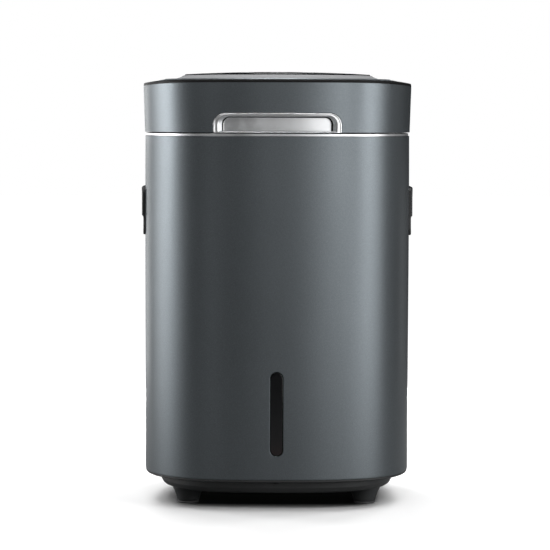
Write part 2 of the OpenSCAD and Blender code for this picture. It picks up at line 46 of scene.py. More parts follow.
# ------------------------------------------------------------------ camera
cam_data = bpy.data.cameras.new("camera")
cam = bpy.data.objects.new("camera", cam_data)
scene.collection.objects.link(cam)
cam.location = (-0.0022, -3.4, 0.4347)
cam.rotation_euler = (math.radians(90 - 3.13), math.radians(0.0), 0.0)
cam.rotation_mode = "QUATERNION"
cam.rotation_quaternion = (Matrix.Rotation(math.radians(90 - 3.13), 3, "X") @ Matrix.Rotation(math.radians(ROLL), 3, "Z")).to_quaternion()
cam_data.sensor_fit = "HORIZONTAL"
cam_data.sensor_width = 36.0
cam_data.lens = 36.0 * 2992.0 / 550.0
cam_data.clip_start = 0.05
cam_data.clip_end = 60.0
scene.camera = cam

# ------------------------------------------------------------------ outline of the body
A0, B0, POW = 0.1486, 0.1632, 3.0
_ang = np.linspace(math.radians(135), math.radians(135 + 360), 60001)
_r = (np.abs(np.cos(_ang) / A0) ** POW + np.abs(np.sin(_ang) / B0) ** POW) ** (-1 / POW)
_ox, _oy = _r * np.cos(_ang), _r * np.sin(_ang)
_os = np.concatenate([[0.0], np.cumsum(np.hypot(np.diff(_ox), np.diff(_oy)))])
ULEN = float(_os[-1])


def outline(u, d=0.0):
    """Point on the body's outline at arc length u, pulled in by d."""
    x = np.interp(u, _os, _ox)
    y = np.interp(u, _os, _oy)
    return x * (A0 - d) / A0, y * (B0 - d) / B0


def outline_normal(u):
    x = np.interp(u, _os, _ox) / A0
    y = np.interp(u, _os, _oy) / B0
    nx, ny = np.sign(x) * x * x / A0, np.sign(y) * y * y / B0
    n = np.hypot(nx, ny)
    return nx / n, ny / n


def u_of(side, v):
    """Arc length where the given side of the outline has the given x (front, rear) or y (left, right)."""
    deg = np.degrees(_ang)
    lo, hi = {"left": (135, 225), "front": (225, 315), "right": (315, 405), "rear": (405, 495)}[side]
    m = (deg >= lo) & (deg <= hi)
    if side in ("front", "rear"):
        key, val = _ox[m], _os[m]
    else:
        key, val = _oy[m], _os[m]
    o = np.argsort(key)
    return float(np.interp(v, key[o], val[o]))


def smooth(a, b, x):
    t = np.clip((np.asarray(x, float) - a) / (b - a), 0, 1)
    return t * t * (3 - 2 * t)


# half width of the body by height: a slight belly, widest about two thirds up
_bz = np.array([35, 60, 107, 160, 220, 288, 330, 354, 380, 404, 412]) * MM
_bd = np.array([0.42, 0.38, 0.30, 0.18, 0.02, -0.16, -0.2, -0.2, -0.12, 0.0, 0.04]) * MM
_bf = np.polyfit(_bz, _bd, 4)


def belly(z):
    return np.polyval(_bf, np.clip(z, 35 * MM, 412 * MM))


# ------------------------------------------------------------------ mesh tools
def arc_pts(cx, cz, r, a0, a1, n):
    return [(cx + r * math.cos(math.radians(a0 + (a1 - a0) * k / n)), cz + r * math.sin(math.radians(a0 + (a1 - a0) * k / n))) for k in range(n + 1)]


def fillet(points, seg=4, closed=True):
    """A polyline of (x, y, radius) with its corners rounded."""
    out = []
    n = len(points)
    for i, (x, y, r) in enumerate(points):
        if r <= 0 or (not closed and i in (0, n - 1)):
            out.append((x, y))
            continue
        p = np.array((x, y))
        a = np.array(points[i - 1][:2]) - p
        b = np.array(points[(i + 1) % n][:2]) - p
        la, lb = np.linalg.norm(a), np.linalg.norm(b)
        a, b = a / la, b / lb
        half = math.acos(max(-1, min(1, float(a @ b)))) / 2
        if half > math.radians(89):
            out.append((x, y))
            continue
        t = min(r / math.tan(half), la * 0.49, lb * 0.49)
        rr = t * math.tan(half)
        c = p + (a + b) / np.linalg.norm(a + b) * (rr / math.sin(half))
        v0, v1 = p + a * t - c, p + b * t - c
        a0 = math.atan2(v0[1], v0[0])
        a1 = math.atan2(v1[1], v1[0])
        da = (a1 - a0 + math.pi) % (2 * math.pi) - math.pi
        for k in range(seg + 1):
            w = a0 + da * k / seg
            out.append((c[0] + rr * math.cos(w), c[1] + rr * math.sin(w)))
    return out


def rrect(hx, hy, r, seg=6, cx=0.0, cy=0.0, edge=0):
    """Closed loop of a rounded rectangle, with `edge` extra points on each straight."""
    r = max(min(r, hx - 1e-6, hy - 1e-6), 1e-6)
    out = []
    corners = [(cx + hx - r, cy - hy + r, -90), (cx + hx - r, cy + hy - r, 0), (cx - hx + r, cy + hy - r, 90), (cx - hx + r, cy - hy + r, 180)]
    for i, (px, py, a0) in enumerate(corners):
        arc = [(px + r * math.cos(math.radians(a0 + 90 * k / seg)), py + r * math.sin(math.radians(a0 + 90 * k / seg))) for k in range(seg + 1)]
        out += arc
        if edge:
            nx_, ny_, na = corners[(i + 1) % 4]
            q = (nx_ + r * math.cos(math.radians(na)), ny_ + r * math.sin(math.radians(na)))
            p = arc[-1]
            out += [(p[0] + (q[0] - p[0]) * k / (edge + 1), p[1] + (q[1] - p[1]) * k / (edge + 1)) for k in range(1, edge + 1)]
    return out


def add_mesh(name, verts, faces, mats=(), body="chassis", slot=None, replace=(), flat=False, normals=None, face_mats=None):
    me = bpy.data.meshes.new(name)
    verts = np.asarray(verts, float)
    used = np.zeros(len(verts), bool)
    for f in faces:
        used[list(f)] = True
    if not used.all():
        to = np.cumsum(used) - 1
        faces = [tuple(int(to[i]) for i in f) for f in faces]
        verts = verts[used]
        if normals is not None:
            normals = np.asarray(normals, float)[used]
    me.from_pydata([tuple(v) for v in verts], [], [tuple(f) for f in faces])
    me.update()
    bm = bmesh.new()
    bm.from_mesh(me)
    bmesh.ops.recalc_face_normals(bm, faces=bm.faces)
    bm.to_mesh(me)
    bm.free()
    ob = bpy.data.objects.new(name, me)
    scene.collection.objects.link(ob)
    for m in mats if isinstance(mats, (list, tuple)) else [mats]:
        me.materials.append(m)
    if face_mats is not None:
        me.polygons.foreach_set("material_index", np.asarray(face_mats, np.int32))
    if not flat:
        me.shade_smooth()
        if normals is None:
            weighted_normals(me)
        else:
            nn = np.asarray(normals, float)
            auto = area_normals(me)
            bad = np.linalg.norm(nn, axis=1) < 0.5
            nn[bad] = auto[bad]
            me.normals_split_custom_set_from_vertices([tuple(v) for v in nn])
    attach(ob, body)
    if replace:
        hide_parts(*replace)
    return ob


def area_normals(me):
    nv, nf, nl = len(me.vertices), len(me.polygons), len(me.loops)
    fn = np.zeros(nf * 3); me.polygons.foreach_get("normal", fn); fn = fn.reshape(-1, 3)
    fa = np.zeros(nf); me.polygons.foreach_get("area", fa)
    lt = np.zeros(nf, np.int64); me.polygons.foreach_get("loop_total", lt)
    lv = np.zeros(nl, np.int64); me.loops.foreach_get("vertex_index", lv)
    which = np.repeat(np.arange(nf), lt)
    acc = np.zeros((nv, 3))
    w = fn * (fa ** 1.0)[:, None]
    for k in range(3):
        acc[:, k] = np.bincount(lv, weights=w[which, k], minlength=nv)
    n = np.linalg.norm(acc, axis=1)
    n[n < 1e-20] = 1
    return acc / n[:, None]


def weighted_normals(me, sharp=math.radians(50)):
    """Smooth shading in which a large flat face keeps its own normal; edges sharper than `sharp` stay crisp."""
    bm = bmesh.new()
    bm.from_mesh(me)
    bm.faces.ensure_lookup_table()
    for e in bm.edges:
        e.smooth = not (len(e.link_faces) == 2 and e.calc_face_angle(0.0) > sharp)
    # groups of faces round each vertex joined by smooth edges
    nl = {}
    for v in bm.verts:
        faces = list(v.link_faces)
        group = {f.index: i for i, f in enumerate(faces)}
        parent = list(range(len(faces)))

        def root(i):
            while parent[i] != i:
                i = parent[i]
            return i
        for e in v.link_edges:
            if e.smooth and len(e.link_faces) == 2:
                a, b = (group[f.index] for f in e.link_faces)
                ra, rb = root(a), root(b)
                if ra != rb:
                    parent[ra] = rb
        sums = {}
        for i, f in enumerate(faces):
            r = root(i)
            sums[r] = sums.get(r, Vector((0, 0, 0))) + f.normal * f.calc_area()
        for i, f in enumerate(faces):
            n = sums[root(i)]
            nl[(f.index, v.index)] = n.normalized() if n.length > 1e-16 else f.normal
    bm.to_mesh(me)
    bm.free()
    loops = []
    for p in me.polygons:
        for vi in p.vertices:
            loops.append(tuple(nl[(p.index, vi)]))
    me.normals_split_custom_set(loops)


def bridge(a, b, closed=True):
    """Quads between two index loops of equal length."""
    n = len(a)
    m = n if closed else n - 1
    return [(a[k], a[(k + 1) % n], b[(k + 1) % n], b[k]) for k in range(m)]


class Build:
    """Collects vertices, faces and, where known, exact normals."""

    def __init__(self):
        self.v, self.f, self.n, self.m = [], [], [], []

    def add(self, pts, normals=None):
        i = len(self.v)
        pts = [tuple(map(float, p)) for p in pts]
        self.v += pts
        self.n += [(0.0, 0.0, 0.0)] * len(pts) if normals is None else [tuple(map(float, q)) for q in normals]
        return list(range(i, i + len(pts)))

    def faces(self, fs, mat=0):
        self.f += [tuple(f) for f in fs]
        self.m += [mat] * len(fs)

    def bridge(self, a, b, closed=True, mat=0, flip=False):
        fs = bridge(a, b, closed)
        if flip:
            fs = [f[::-1] for f in fs]
        self.faces(fs, mat)

    def make(self, name, mats, exact=False, **kw):
        return add_mesh(name, self.v, self.f, mats, face_mats=self.m, normals=self.n if exact else None, **kw)


def loft(name, prof, mats, n=336, z_shift=None, **kw):
    """A closed profile of (d, z) swept round the body's outline."""
    u = np.linspace(0, ULEN, n, endpoint=False)
    b = Build()
    rows = []
    for d, z in prof:
        x, y = outline(u, d)
        zz = np.full(n, z)
        if z_shift is not None:
            zz = zz + z_shift(x, y, zz)
        rows.append(b.add(np.column_stack([x, y, zz])))
    for i in range(len(rows)):
        b.bridge(rows[i], rows[(i + 1) % len(rows)])
    return b.make(name, mats, **kw)


def revolve(name, prof, mats, centre=(0, 0), axis="z", n=96, cap=True, **kw):
    """A profile of (radius, height) turned about an axis; radius 0 ends are closed."""
    b = Build()
    rows = []
    for r, h in prof:
        if r < 1e-7:
            pts = [(0, 0, h)]
        else:
            pts = [(r * math.cos(2 * math.pi * k / n), r * math.sin(2 * math.pi * k / n), h) for k in range(n)]
        rows.append(b.add([place(p, centre, axis) for p in pts]))
    for p, q in zip(rows, rows[1:]):
        if len(p) == 1 and len(q) == 1:
            continue
        if len(p) == 1:
            b.faces([(p[0], q[k], q[(k + 1) % n]) for k in range(n)])
        elif len(q) == 1:
            b.faces([(p[(k + 1) % n], p[k], q[0]) for k in range(n)])
        else:
            b.bridge(p, q)
    if prof[0][0] >= 1e-7 and prof[-1][0] >= 1e-7 and cap == "ring":
        b.bridge(rows[-1], rows[0])
    return b.make(name, mats, **kw)


def place(p, centre, axis):
    if axis == "z":
        return (p[0] + centre[0], p[1] + centre[1], p[2])
    if axis == "y":
        return (p[0] + centre[0], p[2], -p[1] + centre[1])
    return (p[2], p[0] + centre[0], p[1] + centre[1])


def inside(poly, x, y):
    c = False
    n = len(poly)
    j = n - 1
    for i in range(n):
        if (poly[i][1] > y) != (poly[j][1] > y) and x < (poly[j][0] - poly[i][0]) * (y - poly[i][1]) / (poly[j][1] - poly[i][1] + 1e-30) + poly[i][0]:
            c = not c
        j = i
    return c


def skin(loops, pts):
    """Triangles of the flat region inside loops[0] and outside the other loops. Returns (points, triangles); the loops' points come first, in order."""
    co, edges = [], []
    for lp in loops:
        s = len(co)
        co += [Vector(p) for p in lp]
        edges += [(s + k, s + (k + 1) % len(lp)) for k in range(len(lp))]
    nb = len(co)
    for p in pts:
        co.append(Vector(p))
    ov, _, of, orig, _, _ = delaunay_2d_cdt(co, edges, [], 0, 1e-9)
    back = {}
    for i, src in enumerate(orig):
        if src:
            back[i] = min(src)
    tri = []
    for f in of:
        cx = sum(ov[i][0] for i in f) / len(f)
        cy = sum(ov[i][1] for i in f) / len(f)
        if not inside(loops[0], cx, cy) or any(inside(h, cx, cy) for h in loops[1:]):
            continue
        if all(i in back for i in f):
            t = tuple(back[i] for i in f)
            if len(set(t)) == 3:
                tri.append(t)
    return co, tri


def grid_inside(outer, holes, step, margin):
    xs = [p[0] for p in outer]
    ys = [p[1] for p in outer]
    out = []
    nx = max(2, int((max(xs) - min(xs)) / step))
    ny = max(2, int((max(ys) - min(ys)) / step))
    segs = []
    for lp in [outer] + holes:
        a = np.array(lp)
        segs.append(np.hstack([a, np.roll(a, -1, axis=0)]))
    segs = np.vstack(segs)
    for i in range(1, nx):
        for j in range(1, ny):
            p = np.array((min(xs) + (max(xs) - min(xs)) * i / nx, min(ys) + (max(ys) - min(ys)) * j / ny))
            if not inside(outer, p[0], p[1]) or any(inside(h, p[0], p[1]) for h in holes):
                continue
            ab = segs[:, 2:] - segs[:, :2]
            t = np.clip(((p - segs[:, :2]) * ab).sum(1) / np.maximum((ab * ab).sum(1), 1e-18), 0, 1)
            dist = np.hypot(*(segs[:, :2] + ab * t[:, None] - p).T).min()
            if dist > margin:
                out.append(tuple(p))
    return out


def plate(name, to3d, outer, holes, depth, mats, edge_r=0.0006, hole_r=0.0004, step=0.008, seg=3, hole_depth=None, **kw):
    """A plate with rounded edges. outer(e) and each hole(e) give the loop grown by e, and to3d(u, v, depth) its place."""
    b = Build()
    o0 = outer(-edge_r)
    h0 = [h(hole_r) for h in holes]
    pts = grid_inside(o0, h0, step, step * 0.45)
    co, tri = skin([o0] + h0, pts)
    idx = b.add([to3d(p[0], p[1], 0.0) for p in co])
    b.faces([tuple(idx[i] for i in t) for t in tri])
    o1 = outer(0.0)
    h1 = [h(0.0) for h in holes]
    pts1 = grid_inside(o1, h1, step, step * 0.45)
    co1, tri1 = skin([o1] + h1, pts1)
    idx1 = b.add([to3d(p[0], p[1], depth) for p in co1])
    b.faces([tuple(idx1[i] for i in t)[::-1] for t in tri1])
    s = 0
    for k, (gen, r, sign) in enumerate([(outer, edge_r, -1)] + [(h, hole_r, 1) for h in holes]):
        n = len(o0) if k == 0 else len(h0[k - 1])
        prev = idx[s:s + n]
        for q in range(1, seg + 1):
            a = math.radians(90 * q / seg)
            lp = gen(sign * r * (1 - math.sin(a)))
            row = b.add([to3d(p[0], p[1], r * (1 - math.cos(a))) for p in lp])
            b.bridge(prev, row)
            prev = row
        b.bridge(prev, idx1[s:s + n])
        s += n
    return b.make(name, mats, **kw)


def flat_map(axis, level, sign=1):
    """Maps (u, v, depth) for a plate: 'y' faces +Y or -Y with u = x and v = z; 'z' faces up or down with u = x and v = y."""
    if axis == "y":
        return lambda u, v, d: (u, level - sign * d, v)
    if axis == "x":
        return lambda u, v, d: (level - sign * d, u, v)
    return lambda u, v, d: (u, v, level - sign * d)


def sweep(name, path, section, mats, closed=False, **kw):
    """Sweeps a closed section along a path. path holds (point, side, up); the section's (s, h) goes s along side, h along up."""
    b = Build()
    rows = []
    for p, side, up in path:
        rows.append(b.add([Vector(p) + Vector(side) * s + Vector(up) * h for s, h in section]))
    n = len(section)
    for i in range(len(rows) - (0 if closed else 1)):
        b.bridge(rows[i], rows[(i + 1) % len(rows)])
    if not closed:
        b.faces([tuple(rows[0][::-1]), tuple(rows[-1])])
    return b.make(name, mats, **kw)


def block(name, boxes, mats, bevel=0.0008, seg=2, **kw):
    """Several bevelled boxes in one mesh, each (x0, x1, y0, y1, z0, z1)."""
    bm = bmesh.new()
    for x0, x1, y0, y1, z0, z1 in boxes:
        g = bmesh.ops.create_cube(bm, size=1.0)
        for v in g["verts"]:
            v.co = Vector(((x0 + x1) / 2 + v.co.x * (x1 - x0), (y0 + y1) / 2 + v.co.y * (y1 - y0), (z0 + z1) / 2 + v.co.z * (z1 - z0)))
    bmesh.ops.bevel(bm, geom=bm.edges[:], offset=bevel, segments=seg, profile=0.5, affect="EDGES", clamp_overlap=True)
    verts = [tuple(v.co) for v in bm.verts]
    faces = [tuple(v.index for v in f.verts) for f in bm.faces]
    bm.free()
    return add_mesh(name, verts, faces, mats, **kw)


# ------------------------------------------------------------------ materials
def new_mat(name):
    m = bpy.data.materials.new(name)
    m.use_nodes = True
    nt = m.node_tree
    nt.nodes.clear()
    out = nt.nodes.new("ShaderNodeOutputMaterial")
    bsdf = nt.nodes.new("ShaderNodeBsdfPrincipled")
    nt.links.new(bsdf.outputs[0], out.inputs[0])
    tc = nt.nodes.new("ShaderNodeTexCoord")
    return m, nt, bsdf, tc.outputs["Object"]


def noise(nt, co, scale, detail=2.0, rough=0.5, stretch=None):
    if stretch is not None:
        mp = nt.nodes.new("ShaderNodeMapping")
        mp.inputs["Scale"].default_value = stretch
        nt.links.new(co, mp.inputs[0])
        co = mp.outputs[0]
    n = nt.nodes.new("ShaderNodeTexNoise")
    n.inputs["Scale"].default_value = scale
    n.inputs["Detail"].default_value = detail
    n.inputs["Roughness"].default_value = rough
    nt.links.new(co, n.inputs["Vector"])
    return n.outputs["Fac"]


def remap(nt, val, lo, hi, a=0.3, b=0.7):
    r = nt.nodes.new("ShaderNodeMapRange")
    r.inputs["From Min"].default_value = a
    r.inputs["From Max"].default_value = b
    r.inputs["To Min"].default_value = lo
    r.inputs["To Max"].default_value = hi
    nt.links.new(val, r.inputs["Value"])
    return r.outputs[0]


def ramp(nt, val, stops):
    r = nt.nodes.new("ShaderNodeValToRGB")
    el = r.color_ramp.elements
    while len(el) < len(stops):
        el.new(0.5)
    for e, (p, c) in zip(el, stops):
        e.position = p
        e.color = (*c, 1.0) if len(c) == 3 else c
    nt.links.new(val, r.inputs[0])
    return r.outputs[0]


def bump(nt, bsdf, height, strength, dist):
    b = nt.nodes.new("ShaderNodeBump")
    b.inputs["Strength"].default_value = strength
    b.inputs["Distance"].default_value = dist
    nt.links.new(height, b.inputs["Height"])
    prev = bsdf.inputs["Normal"].links
    if prev:
        nt.links.new(prev[0].from_socket, b.inputs["Normal"])
    nt.links.new(b.outputs[0], bsdf.inputs["Normal"])


def scaled(c, k):
    return tuple(min(1.0, x * k) for x in c)


def surface(name, color, rough=0.5, metal=0.0, vary=0.12, rvary=0.05, grain=0.0, grain_scale=900.0, grain_dist=0.0001, coat=0.0,
            coat_rough=0.1, ior=1.5, spec=0.5, cloud=22.0, stretch=None, aniso=0.0, wear=0.0):
    """A finish whose colour drifts a little, with a gloss that varies and a fine grain."""
    m, nt, b, co = new_mat(name)
    b.inputs["Metallic"].default_value = metal
    b.inputs["IOR"].default_value = ior
    b.inputs["Specular IOR Level"].default_value = spec
    b.inputs["Coat Weight"].default_value = coat
    b.inputs["Coat Roughness"].default_value = coat_rough
    b.inputs["Anisotropic"].default_value = aniso
    n1 = noise(nt, co, cloud, 4.0, 0.6, stretch)
    col = ramp(nt, n1, [(0.3, scaled(color, 1 - vary)), (0.7, scaled(color, 1 + vary))])
    if wear > 0:
        geo = nt.nodes.new("ShaderNodeNewGeometry")
        edge = ramp(nt, geo.outputs["Pointiness"], [(0.52, (0, 0, 0)), (0.6, (1, 1, 1))])
        mix = nt.nodes.new("ShaderNodeMix")
        mix.data_type = "RGBA"
        nt.links.new(edge, mix.inputs["Factor"])
        nt.links.new(col, mix.inputs["A"])
        mix.inputs["B"].default_value = (*scaled(color, 1 + wear), 1.0)
        col = mix.outputs["Result"]
    nt.links.new(col, b.inputs["Base Color"])
    n2 = noise(nt, co, cloud * 2.3, 3.0, 0.55, stretch)
    nt.links.new(remap(nt, n2, rough - rvary, rough + rvary), b.inputs["Roughness"])
    if grain > 0:
        bump(nt, b, noise(nt, co, grain_scale, 2.0, 0.6, stretch), grain, grain_dist)
    return m


def paint(name, base, rough, metal, flake=0.16, coat=0.0, coat_rough=0.3):
    """Satin metallic paint: small flakes that each differ a little in tone, with a fine bump; a clear film only where a
    coat is given.
    """
    m, nt, b, co = new_mat(name)
    b.inputs["Metallic"].default_value = metal
    b.inputs["Coat Weight"].default_value = coat
    b.inputs["Coat Roughness"].default_value = coat_rough
    vo = nt.nodes.new("ShaderNodeTexVoronoi")
    vo.inputs["Scale"].default_value = 2600.0
    nt.links.new(co, vo.inputs["Vector"])
    sep = nt.nodes.new("ShaderNodeSeparateColor")
    nt.links.new(vo.outputs["Color"], sep.inputs[0])
    cloud = noise(nt, co, 6.0, 3.0, 0.5)
    c0 = ramp(nt, cloud, [(0.35, scaled(base, 0.97)), (0.65, scaled(base, 1.03))])
    mul = nt.nodes.new("ShaderNodeMix")
    mul.data_type = "RGBA"
    mul.blend_type = "MULTIPLY"
    mul.inputs["Factor"].default_value = 1.0
    nt.links.new(c0, mul.inputs["A"])
    fl = ramp(nt, sep.outputs[0], [(0.0, (1 - flake,) * 3), (0.8, (1.0,) * 3), (1.0, (1 + flake,) * 3)])
    nt.links.new(fl, mul.inputs["B"])
    nt.links.new(mul.outputs["Result"], b.inputs["Base Color"])
    rn = noise(nt, co, 900.0, 2.0)
    nt.links.new(remap(nt, rn, rough - 0.03, rough + 0.03), b.inputs["Roughness"])
    bump(nt, b, noise(nt, co, 1400.0, 1.0), 0.03, 0.00005)
    return m


M = {}
M["paint"] = paint("graphite_satin_paint", (0.166, 0.1865, 0.2), 0.40, 0.86)
M["paint_top"] = paint("graphite_satin_paint_top", (0.158, 0.177, 0.19), 0.44, 0.8)
M["silver"] = surface("satin_silver", (0.86, 0.87, 0.88), 0.40, 1.0, vary=0.03, rvary=0.05, grain=0.04, grain_scale=1200, cloud=40)
M["brushed"] = surface("brushed_silver", (0.84, 0.845, 0.855), 0.42, 1.0, vary=0.05, rvary=0.06, grain=0.12, grain_scale=260,
                       stretch=(1.0, 14.0, 14.0), cloud=60)
M["chrome"] = surface("satin_chrome", (0.88, 0.885, 0.895), 0.32, 1.0, vary=0.02, rvary=0.03, cloud=30)
M["bezel"] = surface("panel_bezel", (0.178, 0.1815, 0.187), 0.70, 0.12, vary=0.03, rvary=0.04, grain=0.05, grain_scale=1500)
M["black"] = surface("moulded_black", (0.018, 0.0185, 0.02), 0.5, 0.0, vary=0.15, rvary=0.08, grain=0.25, grain_scale=1500, grain_dist=0.00008, wear=0.5)
M["base"] = surface("moulded_black_base", (0.040, 0.0425, 0.0435), 0.46, 0.0, vary=0.15, rvary=0.08, grain=0.25, grain_scale=1300, grain_dist=0.00008)
M["edge"] = surface("black_edge_ring", (0.006, 0.0061, 0.0064), 0.55, 0.0, vary=0.1, rvary=0.05, grain=0.1, grain_scale=1500)
for _n in M["edge"].node_tree.nodes:
    if _n.type == "BSDF_PRINCIPLED":
        _n.inputs["Specular IOR Level"].default_value = 0.18
M["lip"] = surface("dark_lip", (0.008, 0.0082, 0.0088), 0.45, 0.0, vary=0.1, rvary=0.05, grain=0.1, grain_scale=1500)
M["gloss"] = surface("gloss_black", (0.006, 0.006, 0.007), 0.08, 0.0, vary=0.1, rvary=0.02, coat=0.6, coat_rough=0.04, cloud=12)
M["rubber"] = surface("rubber_feet", (0.10, 0.101, 0.103), 0.70, 0.0, vary=0.2, rvary=0.08, grain=0.5, grain_scale=700, grain_dist=0.0002)
M["silicone"] = surface("silicone_seal", (0.085, 0.087, 0.09), 0.6, 0.0, vary=0.1, rvary=0.06, grain=0.15, grain_scale=600)
M["steel"] = surface("ground_steel", (0.52, 0.53, 0.545), 0.32, 1.0, vary=0.06, rvary=0.08, grain=0.15, grain_scale=420, stretch=(1, 9, 9), cloud=50)
M["stainless"] = surface("stainless", (0.60, 0.605, 0.61), 0.30, 1.0, vary=0.05, rvary=0.08, grain=0.12, grain_scale=300, stretch=(1, 1, 14), cloud=40)
M["zinc"] = surface("zinc_screws", (0.55, 0.56, 0.60), 0.36, 1.0, vary=0.1, rvary=0.08, cloud=200, grain=0.2, grain_scale=1500)
M["blackened"] = surface("blackened_screws", (0.03, 0.03, 0.032), 0.4, 0.9, vary=0.2, rvary=0.08, cloud=200)
M["coating"] = surface("tub_coating", (0.055, 0.056, 0.058), 0.42, 0.15, vary=0.25, rvary=0.08, grain=0.3, grain_scale=1600, grain_dist=0.00006, cloud=14)
M["nylon"] = surface("nylon_gears", (0.66, 0.645, 0.60), 0.45, 0.0, vary=0.06, rvary=0.06, grain=0.1, grain_scale=900)
M["bronze"] = surface("bronze_bushes", (0.50, 0.33, 0.16), 0.38, 1.0, vary=0.12, rvary=0.1, cloud=120)
M["heater"] = surface("heater_film", (0.48, 0.2, 0.06), 0.4, 0.0, vary=0.2, rvary=0.08, cloud=70, coat=0.3)
M["carbon"] = surface("carbon_granules", (0.012, 0.012, 0.013), 0.7, 0.0, vary=0.5, rvary=0.15, grain=0.9, grain_scale=330, grain_dist=0.0012, cloud=300)
M["grey"] = surface("grey_plastic", (0.16, 0.163, 0.168), 0.5, 0.0, vary=0.06, rvary=0.06, grain=0.2, grain_scale=1200)
M["deck"] = surface("deck_plastic", (0.042, 0.043, 0.046), 0.48, 0.0, vary=0.08, rvary=0.06, grain=0.25, grain_scale=1200)
M["white"] = surface("light_plastic", (0.60, 0.60, 0.59), 0.5, 0.0, vary=0.05, rvary=0.06, grain=0.15, grain_scale=1100)
M["icon"] = surface("pale_marks", (0.55, 0.57, 0.58), 0.4, 0.0, vary=0.03, rvary=0.03)
M["motor"] = surface("motor_can", (0.42, 0.425, 0.43), 0.38, 1.0, vary=0.08, rvary=0.08, grain=0.15, grain_scale=240, stretch=(12, 1, 1), cloud=30)


def board_material():
    """Green circuit board with faint copper lines under the lacquer."""
    m, nt, b, co = new_mat("circuit_board")
    wv = nt.nodes.new("ShaderNodeTexWave")
    wv.wave_type = "BANDS"
    wv.inputs["Scale"].default_value = 160.0
    wv.inputs["Distortion"].default_value = 9.0
    wv.inputs["Detail"].default_value = 1.0
    nt.links.new(co, wv.inputs["Vector"])
    c = ramp(nt, wv.outputs["Fac"], [(0.45, (0.012, 0.07, 0.03)), (0.6, (0.03, 0.13, 0.055))])
    nt.links.new(c, b.inputs["Base Color"])
    nt.links.new(remap(nt, noise(nt, co, 90.0), 0.3, 0.42), b.inputs["Roughness"])
    b.inputs["Coat Weight"].default_value = 0.4
    return m


M["board"] = board_material()


def window_material():
    """Dark infra-red window: black gloss with a dull red depth round the two sensors low down."""
    m, nt, b, co = new_mat("sensor_window_black")
    sep = nt.nodes.new("ShaderNodeSeparateXYZ")
    nt.links.new(co, sep.inputs[0])
    up = ramp(nt, remap(nt, sep.outputs["Z"], 0.0, 1.0, 0.060, 0.1), [(0.0, (0.006, 0.0056, 0.0058)), (0.10, (0.0125, 0.0068, 0.007)), (0.24, (0.0085, 0.0062, 0.0066)), (0.5, (0.0056, 0.0056, 0.0062)), (1.0, (0.0060, 0.0066, 0.0072))])
    mul = nt.nodes.new("ShaderNodeMix")
    mul.data_type = "RGBA"
    mul.blend_type = "MULTIPLY"
    mul.inputs["Factor"].default_value = 1.0
    nt.links.new(up, mul.inputs["A"])
    nt.links.new(ramp(nt, noise(nt, co, 60.0, 2.0), [(0.3, (0.8, 0.8, 0.8)), (0.7, (1.1, 1.1, 1.1))]), mul.inputs["B"])
    nt.links.new(mul.outputs["Result"], b.inputs["Base Color"])
    nt.links.new(remap(nt, noise(nt, co, 25.0), 0.10, 0.14), b.inputs["Roughness"])
    b.inputs["Coat Weight"].default_value = 0.3
    b.inputs["Coat Roughness"].default_value = 0.05
    return m


M["window"] = window_material()

# ------------------------------------------------------------------ crown of the lid's rim
def crown(x, y, z):
    """The lid's rim falls a little towards its sides."""
    w = smooth(0.450, 0.466, z)
    return -3.3 * MM * (np.abs(x) / 0.150) ** 5.5 * w


